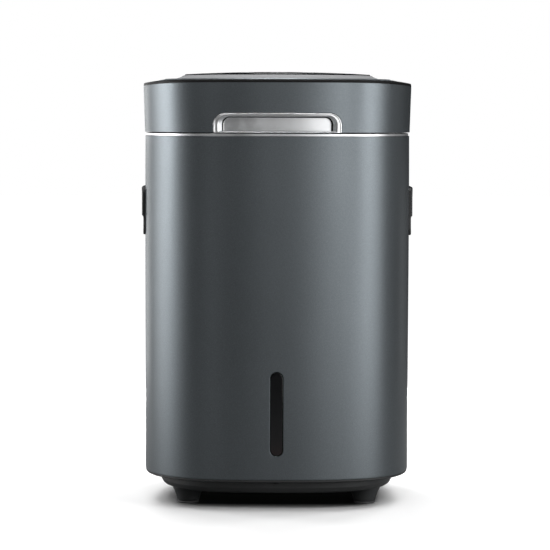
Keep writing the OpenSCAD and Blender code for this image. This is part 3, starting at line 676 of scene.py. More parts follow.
# ------------------------------------------------------------------ outer shell with its openings
def shell_piece(name, rows_out, rows_in, straight, holes, d_of, depth_in, mats, nu=352, fillet_r=0.0006, z_shift=None, **kw):
    """Shell round the outline. rows_out/rows_in: (d, z) rows; the rows of rows_out whose z lies in `straight` carry the openings.
    holes: loop generators in (u, z)."""
    us = np.linspace(0, ULEN, nu + 1)
    b = Build()
    shift = (lambda x, y, z: np.zeros_like(x)) if z_shift is None else z_shift

    def p3(u, z, depth):
        x, y = outline(u, d_of(z) + depth)
        return np.column_stack([x, y, np.asarray(z) + shift(x, y, np.asarray(z))])

    def row(d, z):
        x, y = outline(us[:-1], d)
        zz = np.full(nu, z)
        return b.add(np.column_stack([x, y, zz + shift(x, y, zz)]))

    zs = [z for d, z in rows_out if straight[0] <= z <= straight[1]]
    low = [r for r in rows_out if r[1] < straight[0]]
    high = [r for r in rows_out if r[1] > straight[1]]

    def patch(depth, grow, sign):
        loops = [h(grow) for h in holes]
        pts = [(u, z) for z in zs for u in us]
        keep = []
        polys = [np.array(lp) for lp in loops]
        for (u, z) in pts:
            ok = True
            for lp, poly in zip(loops, polys):
                if poly[:, 0].min() - 0.002 < u < poly[:, 0].max() + 0.002 and poly[:, 1].min() - 0.002 < z < poly[:, 1].max() + 0.002:
                    if inside(lp, u, z):
                        ok = False
                        break
                    seg = np.hstack([poly, np.roll(poly, -1, axis=0)])
                    ab = seg[:, 2:] - seg[:, :2]
                    pp = np.array((u, z))
                    t = np.clip(((pp - seg[:, :2]) * ab).sum(1) / np.maximum((ab * ab).sum(1), 1e-18), 0, 1)
                    if np.hypot(*(seg[:, :2] + ab * t[:, None] - pp).T).min() < 0.0012:
                        ok = False
                        break
            if ok or u in (us[0], us[-1]) or z in (zs[0], zs[-1]):
                keep.append((u, z))
        co, edges = [], []
        for lp in loops:
            s = len(co)
            co += [Vector(p) for p in lp]
            edges += [(s + k, s + (k + 1) % len(lp)) for k in range(len(lp))]
        nb = len(co)
        co += [Vector(p) for p in keep]
        ov, _, of, orig, _, _ = delaunay_2d_cdt(co, edges, [], 0, 1e-9)
        back = {i: min(s) for i, s in enumerate(orig) if s}
        uu = np.array([c[0] for c in co]); zz = np.array([c[1] for c in co])
        ids = b.add(p3(uu, zz, depth))
        seam = {}
        cols = {}
        for k in range(nb, len(co)):
            u, z = co[k]
            ci = int(round(u / ULEN * nu))
            cols[(ci % nu, round(z, 7))] = ids[k] if ci < nu else cols.get((0, round(z, 7)), ids[k])
            if ci == nu:
                seam[ids[k]] = (0, round(z, 7))
        first = {}
        for k in range(nb, len(co)):
            u, z = co[k]
            if int(round(u / ULEN * nu)) == 0:
                first[round(z, 7)] = ids[k]
        for a, key in seam.items():
            seam[a] = first[key[1]]
        nrm = outline_normal(uu)
        for k, i in enumerate(ids):
            b.n[i] = (sign * float(nrm[0][k]), sign * float(nrm[1][k]), 0.0)
        tri = []
        for f in of:
            cx = sum(ov[i][0] for i in f) / 3
            cy = sum(ov[i][1] for i in f) / 3
            if any(inside(h, cx, cy) for h in loops):
                continue
            if all(i in back for i in f):
                t = tuple(seam.get(ids[back[i]], ids[back[i]]) for i in f)
                if len(set(t)) == 3:
                    tri.append(t if sign > 0 else t[::-1])
        b.faces(tri)
        edge_low, edge_high = [], []
        grid = {}
        for k in range(nb, len(co)):
            u, z = co[k]
            grid[(int(round(u / ULEN * nu)) % nu, round(z, 7))] = seam.get(ids[k], ids[k])
        edge_low = [grid[(c, round(zs[0], 7))] for c in range(nu)]
        edge_high = [grid[(c, round(zs[-1], 7))] for c in range(nu)]
        loop_ids = []
        s = 0
        for lp in loops:
            loop_ids.append(ids[s:s + len(lp)])
            s += len(lp)
        return edge_low, edge_high, loop_ids

    lo_o, hi_o, loops_o = patch(0.0, fillet_r, 1)
    lo_i, hi_i, loops_i = patch(depth_in, 0.0, -1)
    # over the top: outer edge, fillet rows, inner edge; the same below
    chain = [hi_o] + [row(d, z) for d, z in high] + [row(d, z) for d, z in rows_in if z > straight[1]] + [hi_i]
    for p, q in zip(chain, chain[1:]):
        b.bridge(p, q)
    chain = [lo_i] + [row(d, z) for d, z in rows_in if z < straight[0]] + [row(d, z) for d, z in low] + [lo_o]
    for p, q in zip(chain, chain[1:]):
        b.bridge(p, q)
    for h, a, c in zip(holes, loops_o, loops_i):
        prev = a
        for q in range(1, 5):
            t = math.radians(90 * q / 4)
            lp = np.array(h(fillet_r * (1 - math.sin(t))))
            r = b.add(p3(lp[:, 0], lp[:, 1], fillet_r * (1 - math.cos(t))))
            b.bridge(prev, r)
            prev = r
        b.bridge(prev, c)
    me = add_mesh(name, b.v, b.f, mats, face_mats=b.m, normals=b.n, **kw)
    return me


def rr_hole(cu, cz, hu, hz, r, seg=8, edge=10):
    return lambda e: rrect(hu + e, hz + e, max(r + e, 1e-5), seg, cu, cz, edge)


def stadium_hole(cu, z0, z1, hw, seg=14):
    return lambda e: rrect(hw + e, (z1 - z0) / 2 + e, hw + e - 1e-6, seg, cu, (z0 + z1) / 2, 10)


U_F = u_of("front", 0.0)
U_B = u_of("rear", 0.0)
U_R = u_of("right", 0.0)
U_L = u_of("left", 0.0)

T = 2.4 * MM
zrows = list(np.linspace(36.2, 406.2, 47) * MM)
bottom = [(belly(0.035) + 0.8 * MM - 0.8 * MM * math.sin(math.radians(a)), 0.0338 + 0.8 * MM * (1 - math.cos(math.radians(a)))) for a in (0, 22, 45, 67, 90)]
top = [(0.0 + 0.5 * MM * (1 - math.cos(math.radians(a))), 0.40715 + 0.5 * MM * math.sin(math.radians(a))) for a in (0, 22, 45, 67, 90)]
outer_rows = bottom + [(float(belly(z)), z) for z in zrows] + top
inner_rows = [(T - 0.3 * MM, 0.40762), (T, 0.4073), (T + 0.1 * MM, 0.0339)]
holes = [
    stadium_hole(U_F, 0.0596, 0.1520, 7.3 * MM),
    rr_hole(U_R, 0.32325, u_of("right", 0.0475) - U_R, 0.0232, 5 * MM),
    rr_hole(U_L, 0.32325, abs(u_of("left", 0.0475) - U_L), 0.0232, 5 * MM),
    rr_hole(U_B, 0.226, abs(u_of("rear", 0.0664) - U_B), 0.0424, 5 * MM),
    rr_hole(U_B, 0.110, abs(u_of("rear", 0.0752) - U_B), 0.0622, 6 * MM),
]
shell = shell_piece("body_shell", outer_rows, inner_rows, (0.0360, 0.4064), holes, belly, T, M["paint"],
                    body="chassis", slot="graphite_paint", replace=["outer_shell"])


def cup(name, to3d, gen, steps, wall, mats, cap_ring=0.45, **kw):
    """A recess: steps of (grow, depth) from its mouth to its floor, with a wall of its own thickness behind it."""
    b = Build()
    rows = [b.add([to3d(p[0], p[1], d) for p in gen(g)]) for g, d in steps]
    for p, q in zip(rows, rows[1:]):
        b.bridge(p, q)
    g, d = steps[-1]
    lp = np.array(gen(g))
    c = lp.mean(0)
    ring = b.add([to3d(*(c + (q - c) * cap_ring), d) for q in lp])
    b.bridge(rows[-1], ring)
    b.faces([tuple(ring)])
    back = [b.add([to3d(p[0], p[1], dd) for p in gen(gg + wall)]) for gg, dd in [(steps[0][0], steps[0][1]), (steps[-1][0], steps[-1][1] + wall)]]
    b.bridge(rows[0], back[0])
    b.bridge(back[0], back[1])
    b.faces([tuple(back[1])])
    return b.make(name, mats, **kw)


def shell_map(d_of=belly, extra=0.0):
    def f(u, z, depth):
        x, y = outline(u, float(d_of(z)) + extra + depth)
        return (float(x), float(y), z)
    return f


# ------------------------------------------------------------------ silver ring under the lid
mm = lambda pts: [(p[0] * MM, p[1] * MM, *(q * MM for q in p[2:])) for p in pts]
loft("seam_ring", fillet(mm([(1.1, 407.72, 0.25), (1.1, 410.5, 0.35), (4.9, 410.5, 0.3), (4.9, 407.2, 0.2), (4.6, 404.5, 0.2), (2.7, 404.5, 0.2), (2.7, 407.6, 0.1)]), 5),
     M["silver"], n=400, body="chassis", slot="satin_silver", replace=["rim_trim"])

# ------------------------------------------------------------------ lid band with the opening of the finger recess
LID0 = 0.4116


def lid_d(z):
    t = np.clip((np.asarray(z, float) - 0.4105) / 0.0497, 0, 1)
    return (-0.45 - 1.6 * t) * MM


def arch(hx, z0, z1, r, r0=0.7 * MM, seg=12, n=24, cu=0.0):
    """Loop generator of an arched opening: big radii above, small ones below."""
    def gen(e):
        x, a, b, R, q = hx + e, z0 - e, z1 + e, max(r + e, 1e-5), max(r0 + e, 1e-5)
        pts = fillet([(cu - x, a, q), (cu + x, a, q), (cu + x, b, R), (cu - x, b, R)], 1)
        corner = lambda px, py, rr, a0, s: [(px + rr * math.cos(math.radians(a0 + 90 * k / s)), py + rr * math.sin(math.radians(a0 + 90 * k / s))) for k in range(s + 1)]
        out = []
        line = lambda p, q2, m: [(p[0] + (q2[0] - p[0]) * k / (m + 1), p[1] + (q2[1] - p[1]) * k / (m + 1)) for k in range(1, m + 1)]
        c1 = corner(cu + x - q, a + q, q, -90, 4)
        c2 = corner(cu + x - R, b - R, R, 0, seg)
        c3 = corner(cu - x + R, b - R, R, 90, seg)
        c4 = corner(cu - x + q, a + q, q, 180, 4)
        return c1 + line(c1[-1], c2[0], 3) + c2 + line(c2[-1], c3[0], n) + c3 + line(c3[-1], c4[0], 3) + c4 + line(c4[-1], c1[0], n)
    return gen


lz = list(np.linspace(412.1, 466.2, 12) * MM)
lb = [(float(lid_d(LID0)) + 0.5 * MM * (1 - math.sin(math.radians(a))), LID0 + 0.5 * MM * (1 - math.cos(math.radians(a)))) for a in (0, 30, 60, 90)]
LR = 0.45 * MM
lt_c = (float(lid_d(0.466)) + LR, 0.46635)
lt = [(lt_c[0] - LR * math.cos(math.radians(a)), lt_c[1] + LR * math.sin(math.radians(a))) for a in (0, 12, 26, 42, 58, 74, 90)]
lt += [(1.0 * MM, 466.83 * MM), (5.6 * MM, 466.86 * MM), (5.95 * MM, 466.75 * MM)]
l_in = [(6.0 * MM, 466.6 * MM), (6.0 * MM, 466.4 * MM), (2.0 * MM, 466.3 * MM), (1.3 * MM, 411.8 * MM)]
shell_piece("lid_band", lb + [(float(lid_d(z)), z) for z in lz] + lt, l_in, (0.4120, 0.4663),
            [arch(69.95 * MM, 0.4126, 0.4331, 13.5 * MM, cu=U_F)], lid_d, 2.4 * MM, M["paint"], nu=400, fillet_r=0.0004, z_shift=crown,
            body="lid", slot="graphite_paint", replace=["lid_shell"])

# black ring let into the top edge
loft("lid_edge_ring", fillet(mm([(-2.15, 465.95, 0.12), (-1.8, 469.0, 0.8), (6.4, 469.75, 0.7), (8.0, 469.6, 0.4), (8.0, 466.9, 0.1), (0.2, 466.9, 0.1), (-1.0, 465.95, 0.1)]), 5), M["edge"], n=400, z_shift=crown,
     body="lid", slot="gloss_black", replace=["lid_rim_ring"])


# ------------------------------------------------------------------ lid's top: from the outline to the round panel
def lid_top():
    n = 336
    u = np.linspace(0, ULEN, n, endpoint=False)
    ang = np.arctan2(*outline(u)[::-1])
    b = Build()

    def ring(w, r, z, d=8.08 * MM):
        x0, y0 = outline(u, d)
        x = x0 * (1 - w) + r * np.cos(ang) * w
        y = y0 * (1 - w) + r * np.sin(ang) * w
        zz = np.full(n, z) + crown(x, y, np.full(n, 0.47)) * (1 - w)
        return b.add(np.column_stack([x, y, zz]))
    R = 0.1285
    rows = [ring(0, R, 0.4670), ring(0, R, 0.4689), ring(0, R, 0.46925, 8.3 * MM), ring(0, R, 0.4694, 8.9 * MM)]
    for k in range(1, 13):
        w = k / 12
        rows.append(ring(w, R, 0.4694 + 0.0009 * math.sin(w * math.pi / 2)))
    for r, z in [(0.1282, 0.47038), (0.1279, 0.4707), (0.1275, 0.47092), (0.1269, 0.471), (0.1235, 0.47105), (0.1185, 0.47105), (0.1158, 0.471), (0.1156, 0.4708), (0.1155, 0.467)]:
        rows.append(ring(1, r, z))
    for p, q in zip(rows, rows[1:] + rows[:1]):
        b.bridge(p, q)
    return b.make("lid_top", M["paint_top"], body="lid", slot="graphite_paint", replace=["lid_cover"])


lid_top()
revolve("panel_bezel_ring", [(x * MM, z * MM) for x, z in
        [(104.95, 471.0), (104.95, 474.75), (105.1, 475.0), (105.5, 475.12), (106.2, 475.08), (106.9, 474.86), (107.7, 474.4), (108.5, 473.85), (109.2, 473.45), (109.9, 473.15), (110.8, 472.8), (113.6, 471.85), (114.7, 471.45), (115.0, 471.2), (115.0, 470.9), (110.0, 470.9)]],
        M["bezel"], n=256, cap="ring", body="lid", slot="panel_bezel", replace=["panel_ring"])
GLASS = lambda r: 0.479 - 0.0028 * (r / 0.1048) ** 2.3
revolve("control_glass", [(0.0, GLASS(0))] + [(r * MM, GLASS(r * MM)) for r in (8, 16, 26, 36, 48, 60, 72, 82, 91, 98, 102, 103.6)] +
        [(104.45 * MM, 0.47622), (104.75 * MM, 0.47606), (104.85 * MM, 0.4758), (104.85 * MM, 0.4744), (60 * MM, 0.4747), (0.0, 0.4747)],
        M["gloss"], n=256, body="lid", slot="gloss_black", replace=["panel_glass"])


# generic touch marks on the glass: power, fan, lid and three dots
def mark(name, strokes, width=0.0009, body="lid"):
    b = Build()
    for pts, closed in strokes:
        pts = [np.array(p, float) for p in pts]
        n = len(pts)
        left, right = [], []
        for i in range(n):
            a = pts[i - 1] if (i > 0 or closed) else pts[i]
            c = pts[(i + 1) % n] if (i < n - 1 or closed) else pts[i]
            t = c - a
            t = t / np.linalg.norm(t)
            nn = np.array((-t[1], t[0])) * width / 2
            left.append(pts[i] + nn)
            right.append(pts[i] - nn)
        z = lambda p, h: (p[0], p[1], GLASS(math.hypot(*p)) + h)
        lt_, rt_ = b.add([z(p, 0.00006) for p in left]), b.add([z(p, 0.00006) for p in right])
        lb_, rb_ = b.add([z(p, -0.0004) for p in left]), b.add([z(p, -0.0004) for p in right])
        for p, q in ((lt_, rt_), (rt_, rb_), (rb_, lb_), (lb_, lt_)):
            b.bridge(p, q, closed)
        if not closed:
            b.faces([(lt_[0], rt_[0], rb_[0], lb_[0]), (lt_[-1], lb_[-1], rb_[-1], rt_[-1])])
    return b.make(name, M["icon"], body=body, slot="white_plastic")


def circ(cx, cy, r, a0=0, a1=360, n=28):
    k = n if a1 - a0 >= 360 else n + 1
    return [(cx + r * math.cos(math.radians(a0 + (a1 - a0) * i / n)), cy + r * math.sin(math.radians(a0 + (a1 - a0) * i / n))) for i in range(k)]


iy = -0.062
mark("mark_power", [(circ(0, iy, 0.0065, -235, 55), False), ([(0, iy + 0.002), (0, iy + 0.0085)], False)])
fan = [(circ(-0.034, iy, 0.0015), True)]
for k in range(3):
    a = 90 + 120 * k
    fan.append(([(-0.034 + r * math.cos(math.radians(a + t)), iy + r * math.sin(math.radians(a + t))) for r, t in ((0.0022, 0), (0.0045, -14), (0.0068, -10), (0.0074, 18), (0.0058, 34), (0.0036, 30))], True))
mark("mark_fan", fan, 0.0007)
mark("mark_lid", [([(0.0275, iy - 0.004), (0.0405, iy - 0.004)], False), ([(0.0280, iy - 0.0015), (0.0395, iy + 0.0045)], False),
                  ([(0.0340, iy + 0.0065), (0.0362, iy + 0.0088), (0.0386, iy + 0.0068)], False)], 0.0008)
mark("mark_dots", [(circ(x, -0.085, 0.0006, n=16), True) for x in (-0.008, 0, 0.008)], 0.0008)
mark("mark_ring", [(circ(0, 0, 0.088, n=180), True)], 0.0005)

# ------------------------------------------------------------------ finger recess: bright bead and silver cup
def lid_map(extra=0.0):
    def f(u, z, depth):
        x, y = outline(u, float(lid_d(z)) + extra + depth)
        return (float(x), float(y), z)
    return f


FR = dict(hx=69.55 * MM, z0=0.41165, z1=0.4327, r=13.1 * MM)


def soft_arch(hx, z0, z1, r, cu=0.0, side=1.9, low=0.30, r0=0.8 * MM, seg=14, n=26):
    """Arch whose steps are wider at its sides than at its top, and narrow along its foot."""
    def gen(e):
        x, a, b, R, q = hx + side * e, z0 - low * e, z1 + e, max(r + 1.25 * e, 1e-4), max(r0, 1e-5)
        corner = lambda px, py, rr, a0, s: [(px + rr * math.cos(math.radians(a0 + 90 * k / s)), py + rr * math.sin(math.radians(a0 + 90 * k / s))) for k in range(s + 1)]
        line = lambda p, q2, m: [(p[0] + (q2[0] - p[0]) * k / (m + 1), p[1] + (q2[1] - p[1]) * k / (m + 1)) for k in range(1, m + 1)]
        c1 = corner(cu + x - q, a + q, q, -90, 4)
        c2 = corner(cu + x - R, b - R, R, 0, seg)
        c3 = corner(cu - x + R, b - R, R, 90, seg)
        c4 = corner(cu - x + q, a + q, q, 180, 4)
        return c1 + line(c1[-1], c2[0], 3) + c2 + line(c2[-1], c3[0], n) + c3 + line(c3[-1], c4[0], 3) + c4 + line(c4[-1], c1[0], n)
    return gen


def bead():
    """The frame round the recess: outer round, fine groove, flat inner band and a turn down to the cup."""
    to3d = lid_map()
    gen = soft_arch(FR["hx"], FR["z0"], FR["z1"], FR["r"], cu=U_F)
    sec = [(0.0, 1.6), (0.0, -0.25), (-0.08, -0.47), (-0.24, -0.62), (-0.45, -0.68), (-0.68, -0.64), (-0.86, -0.48), (-0.95, -0.26), (-1.02, -0.10), (-1.12, -0.06),
           (-1.22, -0.16), (-1.38, -0.30), (-1.7, -0.36), (-2.2, -0.33), (-2.55, -0.2), (-2.75, 0.05), (-2.85, 0.45), (-2.9, 1.3), (-2.95, 2.3), (-2.2, 2.7), (-0.9, 2.7), (-0.5, 2.3)]
    b = Build()
    rows = []
    for g, h in sec:
        rows.append(b.add([to3d(p[0], p[1], h * MM) for p in gen(g * MM)]))
    for p, q in zip(rows, rows[1:] + rows[:1]):
        b.bridge(p, q)
    return b.make("recess_bead", M["chrome"], body="lid", slot="chrome", replace=["grip_frame"])


bead()


def recess_cup():
    """Silver cup: draughted walls that turn through a soft corner into a back wall with the front's own curve."""
    to3d = lid_map()
    gen = soft_arch(63.95 * MM, 0.41245, 0.42985, 9.8 * MM, cu=U_F, side=0.95, low=0.25)
    steps = [(0.0, 2.35), (-0.3, 3.4), (-0.62, 4.7), (-0.95, 6.2), (-1.2, 7.3), (-1.45, 8.1), (-1.75, 8.7), (-2.1, 9.1), (-2.5, 9.3)]
    b = Build()
    rows = [b.add([to3d(p[0], p[1], d * MM) for p in gen(g * MM)]) for g, d in steps]
    for p, q in zip(rows, rows[1:]):
        b.bridge(p, q)
    lp = gen(steps[-1][0] * MM)
    co, tri = skin([lp], grid_inside(lp, [], 0.004, 0.0014))
    extra = b.add([to3d(p[0], p[1], steps[-1][1] * MM) for p in co[len(lp):]])
    ids = rows[-1] + extra
    b.faces([tuple(ids[i] for i in t) for t in tri])
    # the back of the cup
    g1 = soft_arch(65.4 * MM, 0.4118, 0.4309, 10.7 * MM, cu=U_F, side=1.0, low=0.4)
    back = [b.add([to3d(p[0], p[1], d * MM) for p in g1(g * MM)]) for g, d in ((0, 2.75), (-0.3, 9), (-1.6, 14.2), (-3.0, 15.7))]
    b.bridge(rows[0], back[0])
    for p, q in zip(back, back[1:]):
        b.bridge(p, q)
    lp2 = g1(-3.0 * MM)
    co2, tri2 = skin([lp2], grid_inside(lp2, [], 0.006, 0.002))
    ex2 = b.add([to3d(p[0], p[1], 15.7 * MM) for p in co2[len(lp2):]])
    ids2 = back[-1] + ex2
    b.faces([tuple(ids2[i] for i in t) for t in tri2])
    b.make("recess_cup", M["silver"], body="lid", slot="satin_silver", replace=["grip_cup"])
    # painted shade: a black strip laid where the walls meet the cup's floor, over the top and down both sides, standing
    # in for the shadow in that inner corner
    g = Build()
    sec = [(-1.16, 6.4), (-1.36, 7.25), (-1.6, 7.95), (-1.85, 8.4), (-1.95, 9.3), (-1.1, 9.2), (-0.85, 6.5)]
    rows = []
    for e, d in sec:
        q = gen(e * MM)
        rows.append(g.add([to3d(p[0], p[1], d * MM) for p in q[3:len(q) - 29]]))
    for p, q in zip(rows, rows[1:] + rows[:1]):
        g.bridge(p, q, False)
    g.faces([tuple(r[0] for r in rows), tuple(r[-1] for r in reversed(rows))])
    return g.make("recess_corner_shade_strip", M["edge"], body="lid", slot="gloss_black")


recess_cup()

# ------------------------------------------------------------------ base, feet and pads
bd = float(belly(0.036))
BELLY0 = min(float(belly(0.035)) / MM, 3.0)
loft("base_skirt", fillet(mm([(BELLY0 + 0.35, 33.7, 0.2), (BELLY0 + 0.35, 31.6, 1.1), (7.0, 30.3, 1.5), (17.4, 30.0, 1.6), (17.7, 23.0, 3.2), (20.4, 18.2, 3.6), (27.5, 16.7, 1.6), (33.5, 16.7, 0.4),
                              (34.0, 18.4, 0.4), (37.5, 18.4, 0.2), (37.5, 20.4, 0.2), (26.2, 20.4, 1.0), (23.2, 32.4, 1.0), (6.0, 33.8, 0.6), (3.0, 33.7, 0.1)]), 5),
     M["base"], n=336, body="chassis", slot="black_plastic", replace=["base_tray"])


def se_loop(d, n=192):
    def gen(e):
        u = np.linspace(0, ULEN, n, endpoint=False)
        x, y = outline(u, d - e)
        return list(zip(x.tolist(), y.tolist()))
    return gen


def slot_hole(cx, cy, hx, hy, seg=6):
    return lambda e: rrect(hx + e, hy + e, min(hx, hy) + e - 1e-6, seg, cx, cy, 2)


def disc_hole(cx, cy, r, n=28):
    return lambda e: [(cx + (r + e) * math.cos(2 * math.pi * k / n), cy + (r + e) * math.sin(2 * math.pi * k / n)) for k in range(n)]


vents = [slot_hole(x * MM, y * MM, 1.8 * MM, 17 * MM) for y in (-44, 44) for x in range(-60, 61, 10)]
plate("base_floor", lambda u, v, d: (u, v, 0.0186 + d), se_loop(37.0 * MM), vents + [disc_hole(0, 0, 9 * MM)], 1.7 * MM, M["base"],
      edge_r=0.0004, hole_r=0.0005, step=0.014, body="chassis", slot="black_plastic")
revolve("base_hub", [(r * MM, z * MM) for r, z in [(0, 19.4), (5.6, 19.4), (6.0, 18.4), (7.6, 17.6), (8.8, 17.6), (9.6, 18.2), (9.8, 20.2), (0, 20.3)]], M["lip"], n=48,
        body="chassis", slot="black_plastic")

FOOT = [(0.0, 18.2), (16.9, 18.2), (17.1, 17.2), (16.7, 15.9), (15.9, 14.4), (15.0, 12.6), (14.2, 10.6), (13.5, 8.4), (12.9, 6.2), (12.4, 4.2), (12.1, 3.1),
        (11.5, 2.75), (10.9, 2.62), (10.7, 2.45), (5.4, 2.42), (4.9, 2.9), (4.8, 9.0), (0.0, 9.1)]
for name, sx, sy in (("foot_front_left", -1, -1), ("foot_front_right", 1, -1), ("foot_rear_left", -1, 1), ("foot_rear_right", 1, 1)):
    revolve(name + "_post", [(r * MM, z * MM) for r, z in FOOT], M["base"], centre=(sx * 0.098, sy * 0.086), n=72, body="chassis", slot="black_plastic", replace=[name])
PAD = [(4.7, 2.40), (10.6, 2.40), (11.45, 2.32), (11.9, 1.95), (12.0, 1.5), (11.85, 0.9), (11.3, 0.35), (10.6, 0.02), (9.9, 0.0), (9.6, 0.35), (9.0, 0.4), (8.7, 0.02), (8.0, 0.0),
       (7.7, 0.35), (7.1, 0.4), (6.8, 0.02), (5.4, 0.0), (4.75, 0.25)]
for k, (sx, sy) in enumerate(((-1, -1), (1, -1), (-1, 1), (1, 1))):
    revolve("foot_pad_%d" % (k + 1), [(r * MM, z * MM) for r, z in PAD], M["rubber"], centre=(sx * 0.098, sy * 0.086), n=72, cap="ring", body="chassis", slot="rubber",
            replace=["foot_pads"])

# ------------------------------------------------------------------ sensor window
def window_piece():
    to3d = shell_map(belly, 0.55 * MM)
    gen = stadium_hole(U_F, 0.0602, 0.1514, 6.72 * MM)
    plate("sensor_window_glass", to3d, gen, [], 2.3 * MM, M["window"], edge_r=0.0007, step=0.004, body="chassis", slot="gloss_black", replace=["sensor_window"])


window_piece()


# ------------------------------------------------------------------ side carry grips
def side_grip(name, side, node):
    s = 1 if side == "right" else -1
    uc = U_R if side == "right" else U_L
    sgn = s

    def pt(y, z, h):
        """Point on the side at depth position y; h stands out from the body."""
        u = u_of(side, y)
        x, yy = outline(u, float(belly(z)) - h)
        return (float(x), y, z)
    rise = lambda z: 1.0 if z > 0.3176 else (0.62 if z < 0.3166 else 0.62 + 0.38 * (z - 0.3166) / 0.001)
    Z0, Z1, HY = 0.29655, 0.35005, 0.0548
    zc, hz = (Z0 + Z1) / 2, (Z1 - Z0) / 2
    pz0, pz1, phy = 0.3030, 0.3434, 0.0450
    pzc, phz = (pz0 + pz1) / 2, (pz1 - pz0) / 2
    seg, edge = 8, 14
    outer = lambda e: rrect(HY + e, hz + e, 7.5 * MM + e, seg, 0.0, zc, edge)
    inner = lambda e: rrect(phy + e, phz + e, 6.0 * MM + e, seg, 0.0, pzc, edge)
    b = Build()
    rows = []
    H = 4.05 * MM
    for e, h in ((0.0, -2.2), (0.0, 2.4), (-0.15, 3.15), (-0.5, 3.7), (-1.1, 3.98), (-1.7, 4.05)):
        rows.append(b.add([pt(y, z, (h * MM if h < 0 else h * MM * rise(z))) for y, z in outer(e * MM)]))
    for e, h in ((1.9, 4.05), (1.0, 3.85), (0.4, 3.3), (0.05, 2.4), (0.0, 1.0), (-0.3, -6.0)):
        rows.append(b.add([pt(y, z, (h * MM if h < 0 else h * MM * rise(z))) for y, z in inner(e * MM)]))
    # down into the pocket, measured straight in along X
    for e, x in ((-0.9, 0.1345), (-1.6, 0.1275), (-2.6, 0.1238), (-4.2, 0.1219), (-6.4, 0.1212)):
        rows.append(b.add([(sgn * x, y, z) for y, z in inner(e * MM)]))
    for p, q in zip(rows, rows[1:]):
        b.bridge(p, q)
    lp = inner(-6.4 * MM)
    co, tri = skin([lp], grid_inside(lp, [], 0.006, 0.002))
    ids = rows[-1] + b.add([(sgn * 0.1212, p[0], p[1]) for p in co[len(lp):]])
    b.faces([tuple(ids[i] for i in t) for t in tri])
    back = [b.add([pt(y, z, -2.2 * MM) for y, z in inner(2.0 * MM)]), b.add([(sgn * 0.1192, y, z) for y, z in inner(1.4 * MM)])]
    b.bridge(rows[0], back[0])
    b.bridge(back[0], back[1])
    lp2 = inner(1.4 * MM)
    co2, tri2 = skin([lp2], grid_inside(lp2, [], 0.009, 0.003))
    ids2 = back[1] + b.add([(sgn * 0.1192, p[0], p[1]) for p in co2[len(lp2):]])
    b.faces([tuple(ids2[i] for i in t) for t in tri2])
    b.make(name, M["black"], body="chassis", slot="black_plastic", replace=[node])
    # finger ribs under the pocket's upper edge
    sweep_pts = []
    boxes = [(min(sgn * 0.1225, sgn * 0.1440), max(sgn * 0.1225, sgn * 0.1440), y * MM - 0.0007, y * MM + 0.0007, 0.3418, 0.3430) for y in range(-36, 37, 6)]
    block(name + "_ribs", boxes, M["black"], bevel=0.0003, body="chassis", slot="black_plastic")


side_grip("carry_grip_right", "right", "grip_right")
side_grip("carry_grip_left", "left", "grip_left")

# ------------------------------------------------------------------ rear cover, power socket and rocker
def shapely(pts, r=0.0, seg=5):
    """A loop maker for a convex polygon given anticlockwise: moves each side out by e and rounds the corners."""
    n = len(pts)

    def gen(e):
        lines = []
        for i in range(n):
            (x0, y0), (x1, y1) = pts[i], pts[(i + 1) % n]
            ln = math.hypot(x1 - x0, y1 - y0)
            nx, ny = (y1 - y0) / ln, -(x1 - x0) / ln
            lines.append((nx, ny, nx * x0 + ny * y0 + e))
        out = []
        for i in range(n):
            a, b = lines[i - 1], lines[i]
            det = a[0] * b[1] - a[1] * b[0]
            px, py = (a[2] * b[1] - b[2] * a[1]) / det, (a[0] * b[2] - b[0] * a[2]) / det
            rr = max(r + e, 1e-5)
            ta = (-a[1], a[0])
            tb = (-b[1], b[0])
            turn = math.acos(max(-1, min(1, ta[0] * tb[0] + ta[1] * tb[1])))
            k = rr * math.tan(turn / 2)
            p0 = (px - ta[0] * k, py - ta[1] * k)
            cx, cy = p0[0] - a[0] * rr, p0[1] - a[1] * rr
            th = math.atan2(a[1], a[0])
            for q in range(seg + 1):
                w = th + turn * q / seg
                out.append((cx + rr * math.cos(w), cy + rr * math.sin(w)))
        return out
    return gen


SOCKET = shapely([(0.037, 0.0695), (0.063, 0.0695), (0.063, 0.0822), (0.0587, 0.0865), (0.0413, 0.0865), (0.037, 0.0822)], 0.0011)
grille = [rr_hole(0.0, (124 + 8 * k) * MM, 46 * MM, 2 * MM, 1.9 * MM, 5, 12) for k in range(6)]
plate("rear_cover", lambda u, v, d: (u, 0.1502 - d, v), rr_hole(0.0, 0.110, 0.079, 0.068, 0.0025, 4, 30),
      grille + [rr_hole(0.050, 0.078, 15.6 * MM, 11.6 * MM, 1.2 * MM), rr_hole(0.0, 0.078, 8.2 * MM, 11.6 * MM, 1.2 * MM)],
      3.0 * MM, M["black"], edge_r=0.0006, hole_r=0.0007, step=0.012, body="chassis", slot="black_plastic", replace=["rear_panel"])
# fine upright bars behind the exhaust slots
block("grille_bars", [(x * MM - 0.0006, x * MM + 0.0006, 0.1438, 0.1470, 0.1205, 0.1675) for x in range(-42, 43, 7)], M["black"], bevel=0.0004,
      body="chassis", slot="black_plastic")
plate("rocker_frame", lambda u, v, d: (u, 0.1515 - d, v), rr_hole(0.0, 0.078, 10.6 * MM, 14.0 * MM, 2.2 * MM), [rr_hole(0.0, 0.078, 8.15 * MM, 11.55 * MM, 1.1 * MM)],
      1.4 * MM, M["black"], edge_r=0.0006, hole_r=0.0004, step=0.004, body="chassis", slot="black_plastic")


